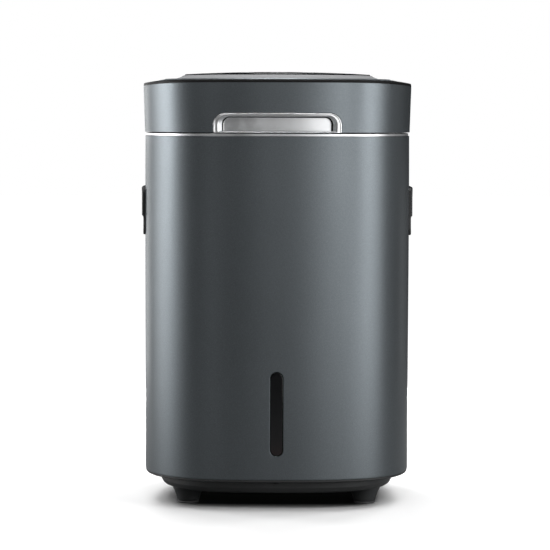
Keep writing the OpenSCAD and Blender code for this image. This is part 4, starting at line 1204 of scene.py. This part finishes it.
def rear_rim():
    """Black collar that lines the opening in the shell, back to the cover."""
    b = Build()
    gen = rr_hole(U_B, 0.110, abs(u_of("rear", 0.0752) - U_B), 0.0622, 6 * MM, 8, 26)
    rows = []
    for g, kind in [(-0.12, 0), (-0.5, 1), (-1.3, 1), (-1.6, 0), (-1.75, 2), (-1.0, 2), (-0.12, 2)]:
        pts = []
        for u, z in gen(g * MM):
            d = float(belly(z))
            x, y = outline(u, d + (0.0 if kind == 1 else 0.0004))
            y = float(y)
            if kind == 2:
                y = 0.15025
            pts.append((float(x), y, z))
        rows.append(b.add(pts))
    for p, q in zip(rows, rows[1:] + rows[:1]):
        b.bridge(p, q)
    return b.make("rear_rim", M["black"], body="chassis", slot="black_plastic")


rear_rim()
plate("socket_flange", lambda u, v, d: (u, 0.1524 - d, v), rr_hole(0.050, 0.078, 20 * MM, 15 * MM, 3.0 * MM), [SOCKET], 2.15 * MM, M["gloss"],
      edge_r=0.0007, hole_r=0.0005, step=0.006, body="chassis", slot="black_plastic", replace=["power_inlet"])
cup("socket_well", lambda u, v, d: (u, 0.1519 - d, v), SOCKET, [(0.0, 0.0), (-0.0001, 0.0040), (-0.0002, 0.0150), (-0.0006, 0.0156)], 0.0012, M["black"],
    body="chassis", slot="black_plastic")
block("socket_pins", [(0.049, 0.051, 0.1365, 0.148, 0.073, 0.077), (0.042, 0.044, 0.1365, 0.148, 0.0785, 0.0825), (0.056, 0.058, 0.1365, 0.148, 0.0785, 0.0825)],
      M["stainless"], bevel=0.0006, seg=3, body="chassis", slot="stainless")


def rocker():
    prof = fillet([(y * MM, z * MM, r * MM) for y, z, r in [(-5, -7, .5), (2.2, -10.6, .6), (5.6, -10.2, .9), (3.75, -4.0, 8), (3.35, 0, 6), (3.6, 4.0, 8), (4.4, 10.6, .9), (1.2, 10.8, .6), (-5, 7, .5)]], 4)
    c = np.array(prof).mean(0)
    rows = []
    b = Build()
    for x, k in [(-7.2, 0.94), (-7.12, 0.972), (-6.9, 0.99), (-6.6, 1.0), (6.6, 1.0), (6.9, 0.99), (7.12, 0.972), (7.2, 0.94)]:
        rows.append(b.add([(x * MM, 0.148 + c[0] + (p[0] - c[0]) * k, 0.078 + c[1] + (p[1] - c[1]) * k) for p in prof]))
    for p, q in zip(rows, rows[1:]):
        b.bridge(p, q)
    b.faces([tuple(rows[0][::-1]), tuple(rows[-1])])
    return b.make("rocker_key", M["gloss"], body="switch", slot="black_plastic", replace=["power_switch"])


rocker()


def ribbon(name, strokes, width, to3d, lift=0.00005, depth=0.0002, body="switch", slot="white_plastic"):
    """Thin raised marks: each stroke is a list of points in the surface's own plane."""
    b = Build()
    for pts in strokes:
        pts = np.array(pts)
        closed = np.allclose(pts[0], pts[-1])
        t = np.gradient(pts, axis=0)
        if closed:
            t[0] = t[-1] = pts[1] - pts[-2]
        t /= np.linalg.norm(t, axis=1)[:, None]
        nrm = np.stack([-t[:, 1], t[:, 0]], 1) * width / 2
        rows = []
        for side, h in ((-1, -depth), (-1, lift), (1, lift), (1, -depth)):
            rows.append(b.add([to3d(p[0], p[1], h) for p in pts + side * nrm]))
        for p, q in zip(rows, rows[1:] + rows[:1]):
            b.bridge(p, q, closed=False)
        if not closed:
            b.faces([tuple(r[0] for r in rows), tuple(r[-1] for r in rows[::-1])])
    return b.make(name, M["icon"], body=body, slot=slot)


ring_pts = [(0.0019 * math.cos(a), 0.0027 * math.sin(a)) for a in np.linspace(0, 2 * math.pi, 33)]
ribbon("rocker_marks", [[(0.0, 0.0047), (0.0, 0.0085)], [(p[0], p[1] - 0.0062) for p in ring_pts]], 0.0006,
       lambda u, v, h: (u, 0.148 + 0.00375 + (0.00085 * v / 0.0085 if v > 0 else -0.0014 * v / 0.0085) + h, 0.078 + v))

# ------------------------------------------------------------------ filter drawer: curved front, finger pocket and tray
HU = abs(u_of("rear", 0.0659) - U_B)
plate("drawer_front", shell_map(), rr_hole(U_B, 0.226, HU, 0.0418, 4.6 * MM, 8, 30), [rr_hole(U_B, 0.249, 0.031, 0.010, 4 * MM, 8, 16)], T, M["paint"],
      edge_r=0.0006, hole_r=0.0009, step=0.006, body="drawer", slot="graphite_paint", replace=["filter_drawer"])
cup("drawer_pocket", shell_map(belly, 0.0006), rr_hole(U_B, 0.249, 0.031, 0.010, 4 * MM, 8, 16),
    [(0.0, 0.0), (-0.00005, 0.004), (-0.0002, 0.0155), (-0.0008, 0.0170), (-0.0020, 0.0176)], 0.0014, M["deck"], body="drawer", slot="black_plastic")


def tray():
    b = Build()
    gen = rr_hole(0.0, 0.1137, 0.0586, 0.0293, 2.4 * MM, 5, 10)
    rows = [b.add([(u, v, z) for u, v in gen(g * MM)]) for g, z in
            [(-0.5, 0.18462), (-0.12, 0.1848), (0, 0.1852), (0, 0.2612), (-0.15, 0.26165), (-0.5, 0.2619), (-1.7, 0.2619), (-2.05, 0.26165), (-2.2, 0.2612), (-2.2, 0.1862)]]
    for p, q in zip(rows, rows[1:]):
        b.bridge(p, q)
    return b.make("drawer_tray_walls", M["deck"], body="drawer", slot="black_plastic")


tray()
plate("drawer_tray_floor", lambda u, v, d: (u, v, 0.1870 - d), rr_hole(0.0, 0.1137, 0.0581, 0.0288, 2.0 * MM, 5, 10),
      [slot_hole(k * 15 * MM, 0.1155, 4.5 * MM, 20.5 * MM) for k in range(-3, 4)], 2.38 * MM, M["deck"], edge_r=0.0003, hole_r=0.0005, step=0.01,
      body="drawer", slot="black_plastic")
block("drawer_brackets", [(s * 56.8 * MM - 0.0018, s * 56.8 * MM + 0.0018, 0.1425, 0.1572, 0.196, 0.230) for s in (-1, 1)], M["deck"], bevel=0.0007,
      body="drawer", slot="black_plastic")

# ------------------------------------------------------------------ deck round the tub's mouth
deck_holes = [rr_hole(0.0, -0.037, 0.098, 0.0995, 0.012, 10, 16)]
deck_holes += [rr_hole(s * 0.058, 0.1245, 0.0065, 0.0285, 0.0012, 3, 8) for s in (-1, 1)]
deck_holes += [rr_hole(0.043, 0.1355, 0.005, 0.0175, 0.0012, 3, 6)]
plate("deck", lambda u, v, d: (u, v, 0.4043 - d), se_loop(2.65 * MM, 240), deck_holes, 4.0 * MM, M["deck"], edge_r=0.0005, hole_r=0.0012, step=0.012,
      body="chassis", slot="black_plastic", replace=["top_deck"])


# ------------------------------------------------------------------ mixing tub
def tub_loops(n=24):
    """Section of the tub in the plane across the mixer's axis, from the rear rim down and round to the front rim."""
    pts = [(0.0645, z) for z in np.linspace(0.400, 0.172, 9)]
    pts += [(-0.037 + 0.1015 * math.cos(a), 0.172 - 0.1015 * math.sin(a)) for a in np.linspace(0, math.pi, 2 * n + 1)[1:-1]]
    pts += [(-0.1385, z) for z in np.linspace(0.172, 0.400, 9)]
    return pts


def tub_bowl():
    sec = np.array(tub_loops())
    t = np.gradient(sec, axis=0)
    t /= np.linalg.norm(t, axis=1)[:, None]
    nrm = np.stack([-t[:, 1], t[:, 0]], 1)          # points inwards
    if (nrm[0] @ (np.array((-0.037, 0.3)) - sec[0])) < 0:
        nrm = -nrm
    R0 = 0.007
    b = Build()
    stations = []
    for a in (0, 15, 30, 45, 60, 75, 90):
        ar = math.radians(a)
        stations.append((-0.098 + R0 * (1 - math.sin(ar)), R0 * math.cos(ar)))
    stations = [(-0.098 + R0 * (1 - math.cos(math.radians(a))), R0 * (1 - math.sin(math.radians(a)))) for a in (0, 15, 30, 45, 60, 75, 90)]
    mid = list(np.linspace(-0.091, 0.091, 15))[1:-1]
    xs = stations + [(x, 0.0) for x in mid] + [(-x, i) for x, i in stations[::-1]]
    rows = []
    for x, i in xs:
        rows.append(b.add([(x, *(p + nn * i)) for p, nn in zip(sec, nrm)]))
    nw = 9
    for k, (p, q) in enumerate(zip(rows, rows[1:])):
        lo = nw - 1 if xs[k][1] == 0.0 and xs[k + 1][1] == 0.0 else 0
        b.bridge(p[lo:], q[lo:], closed=False)
    # flat rear wall with the air port and the sensor hole
    i0 = len(stations) - 1
    i1 = len(rows) - len(stations)
    cols = rows[i0:i1 + 1]
    loop = [c[0] for c in cols] + [cols[-1][j] for j in range(1, nw)] + [c[nw - 1] for c in cols[::-1][1:]] + [cols[0][j] for j in range(nw - 2, 0, -1)]
    flat = [(b.v[i][0], b.v[i][2]) for i in loop]
    holes2 = [disc_hole(0.0, 0.322, 0.019, 40)(0.0), disc_hole(0.062, 0.352, 0.0032, 20)(0.0)]
    co, tri = skin([flat] + holes2, grid_inside(flat, holes2, 0.014, 0.006))
    new = loop + b.add([(p[0], 0.0645, p[1]) for p in co[len(flat):]])
    b.faces([tuple(new[i] for i in f) for f in tri])
    s = len(flat)
    for hole, cx, cz in ((40, 0.0, 0.322), (20, 0.062, 0.352)):
        edge = new[s:s + hole]
        back = b.add([(b.v[i][0], 0.0670, b.v[i][2]) for i in edge])
        b.bridge(edge, back)
        s += hole
    # end walls with the shaft's hole
    for k in (0, len(rows) - 1):
        lp = rows[k]
        flat = [(b.v[i][1], b.v[i][2]) for i in lp]
        hole2 = [disc_hole(-0.037, 0.172, 0.0105, 32)(0.0)]
        co, tri = skin([flat] + hole2, grid_inside(flat, hole2, 0.02, 0.008))
        x = b.v[lp[0]][0]
        new = list(lp) + b.add([(x, p[0], p[1]) for p in co[len(flat):]])
        b.faces([tuple(new[i] for i in f) for f in tri])
        edge = new[len(flat):len(flat) + 32]
        back = b.add([(x + (-0.0025 if x < 0 else 0.0025), b.v[i][1], b.v[i][2]) for i in edge])
        b.bridge(edge, back)
    return b, rows


TB, TROWS = tub_bowl()
TB.make("tub_bowl", M["coating"], body="chassis", slot="tub_coating", replace=["tub"])


def tub_jacket():
    """Outer skin of the tub: its round bottom, straight walls and end walls with the shaft's hole."""
    b = Build()
    sec = [(0.0670, z) for z in np.linspace(0.3972, 0.172, 6)] + [(-0.037 + 0.104 * math.cos(a), 0.172 - 0.104 * math.sin(a)) for a in np.linspace(0, math.pi, 49)[1:-1]] \
        + [(-0.1410, z) for z in np.linspace(0.172, 0.3972, 6)]
    rows = [b.add([(x, *((1 - k) * np.array((-0.037, 0.25)) + k * np.array(p))) for p in sec]) for x, k in [(-0.1005, 0.992), (-0.1001, 0.998), (-0.0992, 1.0), (0.0992, 1.0), (0.1001, 0.998), (0.1005, 0.992)]]
    for p, q in zip(rows, rows[1:]):
        b.bridge(p, q, closed=False)
    for k in (0, -1):
        lp = rows[k]
        flat = [(b.v[i][1], b.v[i][2]) for i in lp]
        hole2 = [disc_hole(-0.037, 0.172, 0.0105, 32)(0.0)]
        co, tri = skin([flat] + hole2, [])
        x = b.v[lp[0]][0]
        new = list(lp) + b.add([(x, p[0], p[1]) for p in co[len(flat):]])
        b.faces([tuple(new[i] for i in f) for f in tri])
    return b.make("tub_jacket", M["steel"], body="chassis", slot="steel")


tub_jacket()
plate("tub_flange", lambda u, v, d: (u, v, 0.4000 - d), rr_hole(0.0, -0.037, 0.1050, 0.1088, 0.016, 8, 14),
      [rr_hole(0.0, -0.037, 0.0978, 0.1013, 0.0065, 8, 14)], 2.9 * MM, M["coating"], edge_r=0.0005, hole_r=0.0008, step=0.02, body="chassis", slot="tub_coating")


# ------------------------------------------------------------------ mixing arms
def solid_of(parts, bevel, seg=3):
    """Bevelled blocks, each given by its half sizes, centre and turn, gathered as vertices and faces."""
    verts, faces = [], []
    for (hx, hy, hz), mat in parts:
        bm = bmesh.new()
        g = bmesh.ops.create_cube(bm, size=2.0)
        for v in g["verts"]:
            v.co = Vector((v.co.x * hx, v.co.y * hy, v.co.z * hz))
        bmesh.ops.bevel(bm, geom=bm.edges[:], offset=bevel, segments=seg, profile=0.5, affect="EDGES", clamp_overlap=True)
        s = len(verts)
        bm.verts.index_update()
        verts += [tuple(mat @ v.co) for v in bm.verts]
        faces += [tuple(s + v.index for v in f.verts) for f in bm.faces]
        bm.free()
    return verts, faces


def mixing_arms():
    for k in range(5):
        x = (k - 2) * 0.0375
        turn = Matrix.Translation((x, -0.037, 0.172)) @ Matrix.Rotation(math.radians(144 * k), 4, "X")
        parts = [((0.003, 0.006, 0.0345), turn @ Matrix.Translation((0, 0, 0.0475))),
                 ((0.015, 0.003, 0.0135), turn @ Matrix.Rotation(math.radians(28), 4, "Z") @ Matrix.Translation((0, 0, 0.0815)))]
        v, f = solid_of(parts, 0.0011, 3)
        add_mesh("mixer_arm_%d" % (k + 1), v, f, M["stainless"], body="mixer", slot="stainless", replace=["mixer_paddles"])
        prof = fillet([(z, r, q) for z, r, q in [(-0.008, 0.0081, 0.0002), (-0.008, 0.0140, 0.0012), (0.008, 0.0140, 0.0012), (0.008, 0.0081, 0.0002)]], 4)
        b = Build()
        n = 48
        rows = []
        for q in range(n):
            a = 2 * math.pi * q / n
            rows.append(b.add([(x + z, -0.037 + r * math.cos(a), 0.172 + r * math.sin(a)) for z, r in prof]))
        for q in range(n):
            b.bridge(rows[q], rows[(q + 1) % n])
        b.make("mixer_hub_%d" % (k + 1), M["stainless"], body="mixer", slot="stainless")


mixing_arms()


# ------------------------------------------------------------------ underside of the lid
def clipped_outline(d, ymax):
    pts = []
    u = np.linspace(0, ULEN, 300, endpoint=False)
    x, y = outline(u, d)
    pts = [(float(p), float(q)) for p, q in zip(x, y)]
    keep = [p for p in pts if p[1] <= ymax - 1e-4]
    # the loop starts on the right: order it from the right end of the cut round the front to the left end
    right = [p for p in keep if p[0] > 0]
    left = [p for p in keep if p[0] <= 0]
    right.sort(key=lambda p: -p[1] if p[1] > 0 else -p[1])
    right = sorted([p for p in right], key=lambda p: math.atan2(p[1], p[0]), reverse=True)
    left = sorted([p for p in left], key=lambda p: math.atan2(p[1], p[0]) % (2 * math.pi), reverse=True)
    xr = float(np.interp(ymax, *zip(*sorted([(q, p) for p, q in pts if p > 0.06]))))
    loop = [(xr, ymax)] + right + left + [(-xr, ymax)]
    loop += [(t * xr, ymax) for t in np.linspace(-0.9, 0.9, 13)]
    return loop


liner_loop = clipped_outline(2.7 * MM, 0.1338)
notch = [(-0.070, -0.1422), (0.070, -0.1422)]
front_run = []
for p in liner_loop:
    if p[1] < -0.1422 and abs(p[0]) < 0.070:
        continue
    front_run.append(p)
cut = [i for i in range(len(front_run)) if front_run[i][0] >= 0.070 and front_run[i][1] < -0.12 and front_run[(i + 1) % len(front_run)][0] <= -0.070]
if cut:
    i = cut[0]
    yq = front_run[i][1]
    front_run = front_run[:i + 1] + [(0.070, yq - 0.0002), (0.070, -0.1422), (0.023, -0.1422), (-0.023, -0.1422), (-0.070, -0.1422), (-0.070, yq - 0.0002)] + front_run[i + 1:]
liner_loop = front_run
liner_holes = [rr_hole(s * 0.058, 0.104, 0.005, 0.0065, 0.0008, 3, 8) for s in (-1, 1)] + [disc_hole(s * 0.058, y, 0.0015, 16) for s in (-1, 1) for y in (0.0945, 0.119)]
plate("lid_liner_plate", lambda u, v, d: (u, v, 0.4120 + d), lambda e: liner_loop, liner_holes, 2.5 * MM, M["deck"], edge_r=0.0004, hole_r=0.0003, step=0.016,
      body="lid", slot="black_plastic", replace=["lid_liner"])


def liner_pan():
    b = Build()
    gen = rr_hole(0.0, -0.037, 0.104, 0.1045, 0.024, 12, 18)
    rows = [b.add([(u, v, z * MM) for u, v in gen(g * MM)]) for g, z in
            [(0, 412.4), (0, 407.9), (-0.12, 407.2), (-0.45, 406.65), (-1.0, 406.36), (-1.7, 406.3), (-13.0, 406.3), (-13.9, 406.45), (-14.5, 406.9), (-15.1, 407.35), (-16.0, 407.5), (-17.0, 407.5)]]
    for p, q in zip(rows, rows[1:]):
        b.bridge(p, q)
    lp = [(b.v[i][0], b.v[i][1]) for i in rows[-1]]
    dish = [disc_hole(0.0, -0.037, 0.030, 64)(0.0)]
    co, tri = skin([lp] + dish, grid_inside(lp, dish, 0.014, 0.006))
    new = list(rows[-1]) + b.add([(p[0], p[1], 0.4075) for p in co[len(lp):]])
    b.faces([tuple(new[i] for i in f) for f in tri])
    edge = new[len(lp):len(lp) + 64]
    prev = edge
    for r, z in [(29.6, 407.4), (29.2, 406.9), (28.6, 406.6), (27.5, 406.5), (12, 406.5), (11.2, 406.7), (10.6, 407.3), (9.6, 407.5)]:
        row = b.add([(r * MM * math.cos(2 * math.pi * k / 64), -0.037 + r * MM * math.sin(2 * math.pi * k / 64), z * MM) for k in range(64)])
        b.bridge(prev, row)
        prev = row
    b.faces([tuple(prev)])
    back = [b.add([(u, v, z * MM) for u, v in gen(g * MM)]) for g, z in [(-2.4, 412.4), (-2.4, 408.6)]]
    b.bridge(rows[0], back[0])
    b.bridge(back[0], back[1])
    b.faces([tuple(back[1])])
    return b.make("lid_liner_pan", M["deck"], body="lid", slot="black_plastic")


liner_pan()


def gasket():
    b = Build()
    o = rr_hole(0.0, -0.037, 0.1035, 0.104, 0.023, 12, 18)(0.0)
    i = rr_hole(0.0, -0.037, 0.0993, 0.1008, 0.014, 12, 18)(0.0)
    o, i = np.array(o), np.array(i)
    rows = []
    for t, z in [(0, 406.3), (0, 405.35), (0.06, 404.95), (0.16, 404.72), (0.3, 404.65), (0.42, 404.8), (0.5, 405.15), (0.58, 404.8), (0.7, 404.65), (0.84, 404.72), (0.94, 404.95), (1, 405.35), (1, 406.3)]:
        rows.append(b.add([(p[0], p[1], z * MM) for p in o + (i - o) * t]))
    for p, q in zip(rows, rows[1:] + rows[:1]):
        b.bridge(p, q)
    return b.make("lid_seal", M["silicone"], body="lid", slot="silicone", replace=["lid_gasket"])


gasket()
for side, s in (("left", -1), ("right", 1)):
    cx = s * 0.058
    v, f = solid_of([((0.004, 0.0215, 0.005), Matrix.Translation((cx, 0.1205, 0.376))), ((0.004, 0.005, 0.0233), Matrix.Translation((cx, 0.104, 0.3943))),
                     ((0.0115, 0.0168, 0.0015), Matrix.Translation((cx, 0.107, 0.4164)))], 0.0010, 3)
    add_mesh("hinge_%s_bar" % side, v, f, M["steel"], body="lid", slot="steel", replace=["hinge_arm_" + side])
    b = Build()
    prof = fillet([(z, r, q) for z, r, q in [(-0.0055, 0.0041, 0.0002), (-0.0055, 0.0080, 0.0009), (0.0055, 0.0080, 0.0009), (0.0055, 0.0041, 0.0002)]], 4)
    rows = [b.add([(cx + z, 0.146 + r * math.cos(2 * math.pi * q / 40), 0.376 + r * math.sin(2 * math.pi * q / 40)) for z, r in prof]) for q in range(40)]
    for q in range(40):
        b.bridge(rows[q], rows[(q + 1) % 40])
    b.make("hinge_%s_eye" % side, M["steel"], body="lid", slot="steel")

# ------------------------------------------------------------------ finishes of the CAD nodes that stay
FINISH = {
    "foot_screws": "zinc", "base_screws": "blackened", "sensor_board": "board", "tub_heater": "heater", "cradle_left": "grey", "cradle_right": "grey",
    "mixer_shaft": "stainless", "bearing_left": "bronze", "bearing_right": "bronze", "shaft_seals": "rubber", "main_gear": "nylon", "idler_gear": "nylon",
    "idler_axle": "steel", "motor_pinion": "steel", "gear_motor": "motor", "gear_plate": "steel", "blower_housing": "grey", "blower_impeller": "white",
    "air_collar": "silicone", "filter_bay": "deck", "carbon_pack": "carbon", "power_board": "board", "humidity_sensor": "white",
    "hinge_bracket_left": "steel", "hinge_bracket_right": "steel", "lid_motor": "motor", "lid_pinion": "nylon", "lid_sector": "nylon", "hinge_shaft": "steel",
    "hinge_arm_left": "deck", "hinge_arm_right": "deck", "touch_board": "board", "lid_screws": "zinc", "lid_liner": "deck", "lid_gasket": "silicone",
    "tub": "coating", "mixer_paddles": "stainless", "top_deck": "deck", "filter_drawer": "deck", "rear_panel": "black", "power_inlet": "black", "power_switch": "gloss",
}
for node_name, ob in nodes.items():
    if ob.hide_render or node_name not in FINISH:
        continue
    ob.data.materials.clear()
    ob.data.materials.append(M[FINISH[node_name]])

# ------------------------------------------------------------------ floor, background and light
def light(name, loc, target, size, power, color=(1, 1, 1), spread=180.0, only=None):
    d = bpy.data.lights.new(name, "AREA")
    d.shape = "RECTANGLE"
    d.size, d.size_y = size
    d.energy = power
    d.color = color
    d.spread = math.radians(spread)
    o = bpy.data.objects.new(name, d)
    scene.collection.objects.link(o)
    o.location = loc
    o.rotation_euler = (Vector(target) - Vector(loc)).to_track_quat("-Z", "Y").to_euler()
    o.visible_camera = False
    if only is not None:
        col = bpy.data.collections.new(name + "_receivers")
        for r in only:
            col.objects.link(r)
        o.light_linking.receiver_collection = col
    return o


def make_floor():
    bm = bmesh.new()
    n = 96
    rings = [0.0, 0.25, 0.6, 1.5, 4.0, 12.0]
    prev = None
    for r in rings:
        if r == 0:
            cur = [bm.verts.new((0, 0, 0))]
        else:
            cur = [bm.verts.new((r * math.cos(2 * math.pi * k / n), r * math.sin(2 * math.pi * k / n), 0)) for k in range(n)]
        if prev is not None:
            for k in range(n):
                if len(prev) == 1:
                    bm.faces.new((prev[0], cur[k], cur[(k + 1) % n]))
                else:
                    bm.faces.new((prev[k], cur[k], cur[(k + 1) % n], prev[(k + 1) % n]))
        prev = cur
    me = bpy.data.meshes.new("floor")
    bm.to_mesh(me)
    bm.free()
    ob = bpy.data.objects.new("floor", me)
    scene.collection.objects.link(ob)
    m = bpy.data.materials.new("pale_floor")
    m.use_nodes = True
    nt = m.node_tree
    nt.nodes.clear()
    out = nt.nodes.new("ShaderNodeOutputMaterial")
    diff = nt.nodes.new("ShaderNodeBsdfDiffuse")
    dim = nt.nodes.new("ShaderNodeBsdfDiffuse")
    diff.inputs["Color"].default_value = (0.9, 0.9, 0.9, 1)
    dim.inputs["Color"].default_value = (0.16, 0.16, 0.16, 1)
    lp = nt.nodes.new("ShaderNodeLightPath")
    # the far floor glows a little by itself, so that it stays as pale as the near floor
    tc = nt.nodes.new("ShaderNodeTexCoord")
    far = nt.nodes.new("ShaderNodeVectorMath")
    far.operation = "LENGTH"
    nt.links.new(tc.outputs["Object"], far.inputs[0])
    away = nt.nodes.new("ShaderNodeMapRange")
    away.interpolation_type = "SMOOTHSTEP"
    away.inputs["From Min"].default_value = 0.34
    away.inputs["From Max"].default_value = 0.75
    away.inputs["To Min"].default_value = 0.0
    away.inputs["To Max"].default_value = 1.02
    nt.links.new(far.outputs["Value"], away.inputs["Value"])
    # painted shadow: the floor's colour is painted dark under the machine's base, where the base keeps the light off it
    part = nt.nodes.new("ShaderNodeSeparateXYZ")
    nt.links.new(tc.outputs["Object"], part.inputs[0])
    under = nt.nodes.new("ShaderNodeMath")
    under.operation = "MULTIPLY"
    for k, (axis, near_, far_) in enumerate((("X", 0.084, 0.116), ("Y", 0.092, 0.134))):
        size = nt.nodes.new("ShaderNodeMath")
        size.operation = "ABSOLUTE"
        nt.links.new(part.outputs[axis], size.inputs[0])
        fall = nt.nodes.new("ShaderNodeMapRange")
        fall.interpolation_type = "SMOOTHSTEP"
        fall.inputs["From Min"].default_value = near_
        fall.inputs["From Max"].default_value = far_
        fall.inputs["To Min"].default_value = 1.0
        fall.inputs["To Max"].default_value = 0.0
        nt.links.new(size.outputs[0], fall.inputs["Value"])
        nt.links.new(fall.outputs[0], under.inputs[k])
    # painted shadow: floor colour 0.9 in the open, falling to 0.07 under the base
    painted_shadow_tone = nt.nodes.new("ShaderNodeMapRange")
    painted_shadow_tone.inputs["To Min"].default_value = 0.9
    painted_shadow_tone.inputs["To Max"].default_value = 0.07
    nt.links.new(under.outputs[0], painted_shadow_tone.inputs["Value"])
    nt.links.new(painted_shadow_tone.outputs[0], diff.inputs["Color"])
    glow = nt.nodes.new("ShaderNodeEmission")
    nt.links.new(away.outputs[0], glow.inputs["Strength"])
    seen = nt.nodes.new("ShaderNodeAddShader")
    nt.links.new(diff.outputs[0], seen.inputs[0])
    nt.links.new(glow.outputs[0], seen.inputs[1])
    mix = nt.nodes.new("ShaderNodeMixShader")
    nt.links.new(lp.outputs["Is Camera Ray"], mix.inputs[0])
    nt.links.new(dim.outputs[0], mix.inputs[1])
    nt.links.new(seen.outputs[0], mix.inputs[2])
    clear = nt.nodes.new("ShaderNodeBsdfTransparent")
    geo = nt.nodes.new("ShaderNodeNewGeometry")
    one = nt.nodes.new("ShaderNodeMixShader")
    nt.links.new(geo.outputs["Backfacing"], one.inputs[0])
    nt.links.new(mix.outputs[0], one.inputs[1])
    nt.links.new(clear.outputs[0], one.inputs[2])
    nt.links.new(one.outputs[0], out.inputs[0])
    me.materials.append(m)
    return ob


floor = make_floor()

world = bpy.data.worlds.new("studio")
scene.world = world
world.use_nodes = True
wt = world.node_tree
wt.nodes.clear()
wout = wt.nodes.new("ShaderNodeOutputWorld")
wlp = wt.nodes.new("ShaderNodeLightPath")
wmix = wt.nodes.new("ShaderNodeMixShader")
wsee = wt.nodes.new("ShaderNodeBackground")
wsee.inputs["Color"].default_value = (1, 1, 1, 1)
wsee.inputs["Strength"].default_value = 1.0
wlit = wt.nodes.new("ShaderNodeBackground")
wt.links.new(wlp.outputs["Is Camera Ray"], wmix.inputs[0])
wt.links.new(wlit.outputs[0], wmix.inputs[1])
wt.links.new(wsee.outputs[0], wmix.inputs[2])
wt.links.new(wmix.outputs[0], wout.inputs[0])
wlit.inputs["Color"].default_value = (0.9, 0.95, 1.0, 1)
wlit.inputs["Strength"].default_value = 0.008

TIER = {0: (0.17, 0.32), 1: (0.60, 0.50), 2: (1.18, 0.60)}      # height of the middle and height of a panel


def studio(name, tier, az, level, only=None):
    """A soft panel that faces the machine: az in degrees from the front towards the right; tier 'top' and 't' hang above."""
    a = math.radians(az)
    if tier == "top":
        loc, aim, size = (0, 0, 1.9), (0, 0, 0), (0.8, 0.8)
    elif tier == "t":
        loc, aim, size = (0.85 * math.sin(a), -0.85 * math.cos(a), 1.75), (0, 0, 0.4), (0.65, 0.65)
    else:
        z, h = TIER[tier]
        loc, aim, size = (1.3 * math.sin(a), -1.3 * math.cos(a), z), (0, 0, z), (0.335, h)
    return light("%s_%s_%03d" % (name, tier, az), loc, aim, size, level * math.pi * size[0] * size[1], only=only)


KEY = 1.255
kit = []
for tier, az, level in [(0, 15, 1.13), (0, 30, 1.03), (0, 45, 1.86), (0, 60, 2.76), (0, 75, 1.9), (0, 105, .2), (0, 135, .34), (0, 210, 1.56), (0, 240, 1.32), (0, 255, 2.79),
                        (0, 270, 2.53), (0, 285, 1.03), (0, 330, .44), (1, 15, 1.32), (1, 30, 2.92), (1, 60, 4.27), (1, 75, 2.06), (1, 105, .1), (1, 120, .2), (1, 210, 1.98),
                        (1, 240, 1.77), (1, 255, 3.91), (1, 270, 6.15), (2, 330, 4.82), ("top", 0, 15.25)]:
    kit.append(studio("soft", tier, az, level * KEY))
skip = bpy.data.collections.new("not_the_floor")
skip.objects.link(floor)
skip.collection_objects[0].light_linking.link_state = "EXCLUDE"
# the polished panel mirrors only the soft light above it, so that its marks stay readable from every side
skip_panel = bpy.data.collections.new("not_the_floor_or_panel")
for k, o in enumerate((floor, bpy.data.objects["control_glass"])):
    skip_panel.objects.link(o)
    skip_panel.collection_objects[k].light_linking.link_state = "EXCLUDE"
for o in kit:
    o.light_linking.receiver_collection = skip if o.location.z > 1.5 else skip_panel
for tier, az, level in [(0, 180, 50.0), (1, 45, 3.61), (1, 195, 29.2), (1, 330, 4.12), (2, 0, 8.36), (2, 45, 7.16), (2, 60, 7.5), (2, 120, 14.3), (2, 150, 19.0),
                        (2, 210, 15.5), (2, 240, 15.4), (2, 315, 4.96), ("top", 0, 2.29), ("t", 90, 5.45), ("t", 270, 2.21)]:
    studio("wash", tier, az, level * 1.03, only=[floor])

scene.view_settings.view_transform = "Standard"
scene.view_settings.look = "None"
scene.view_settings.exposure = 0.0
scene.view_settings.gamma = 1.0

bpy.context.view_layer.update()
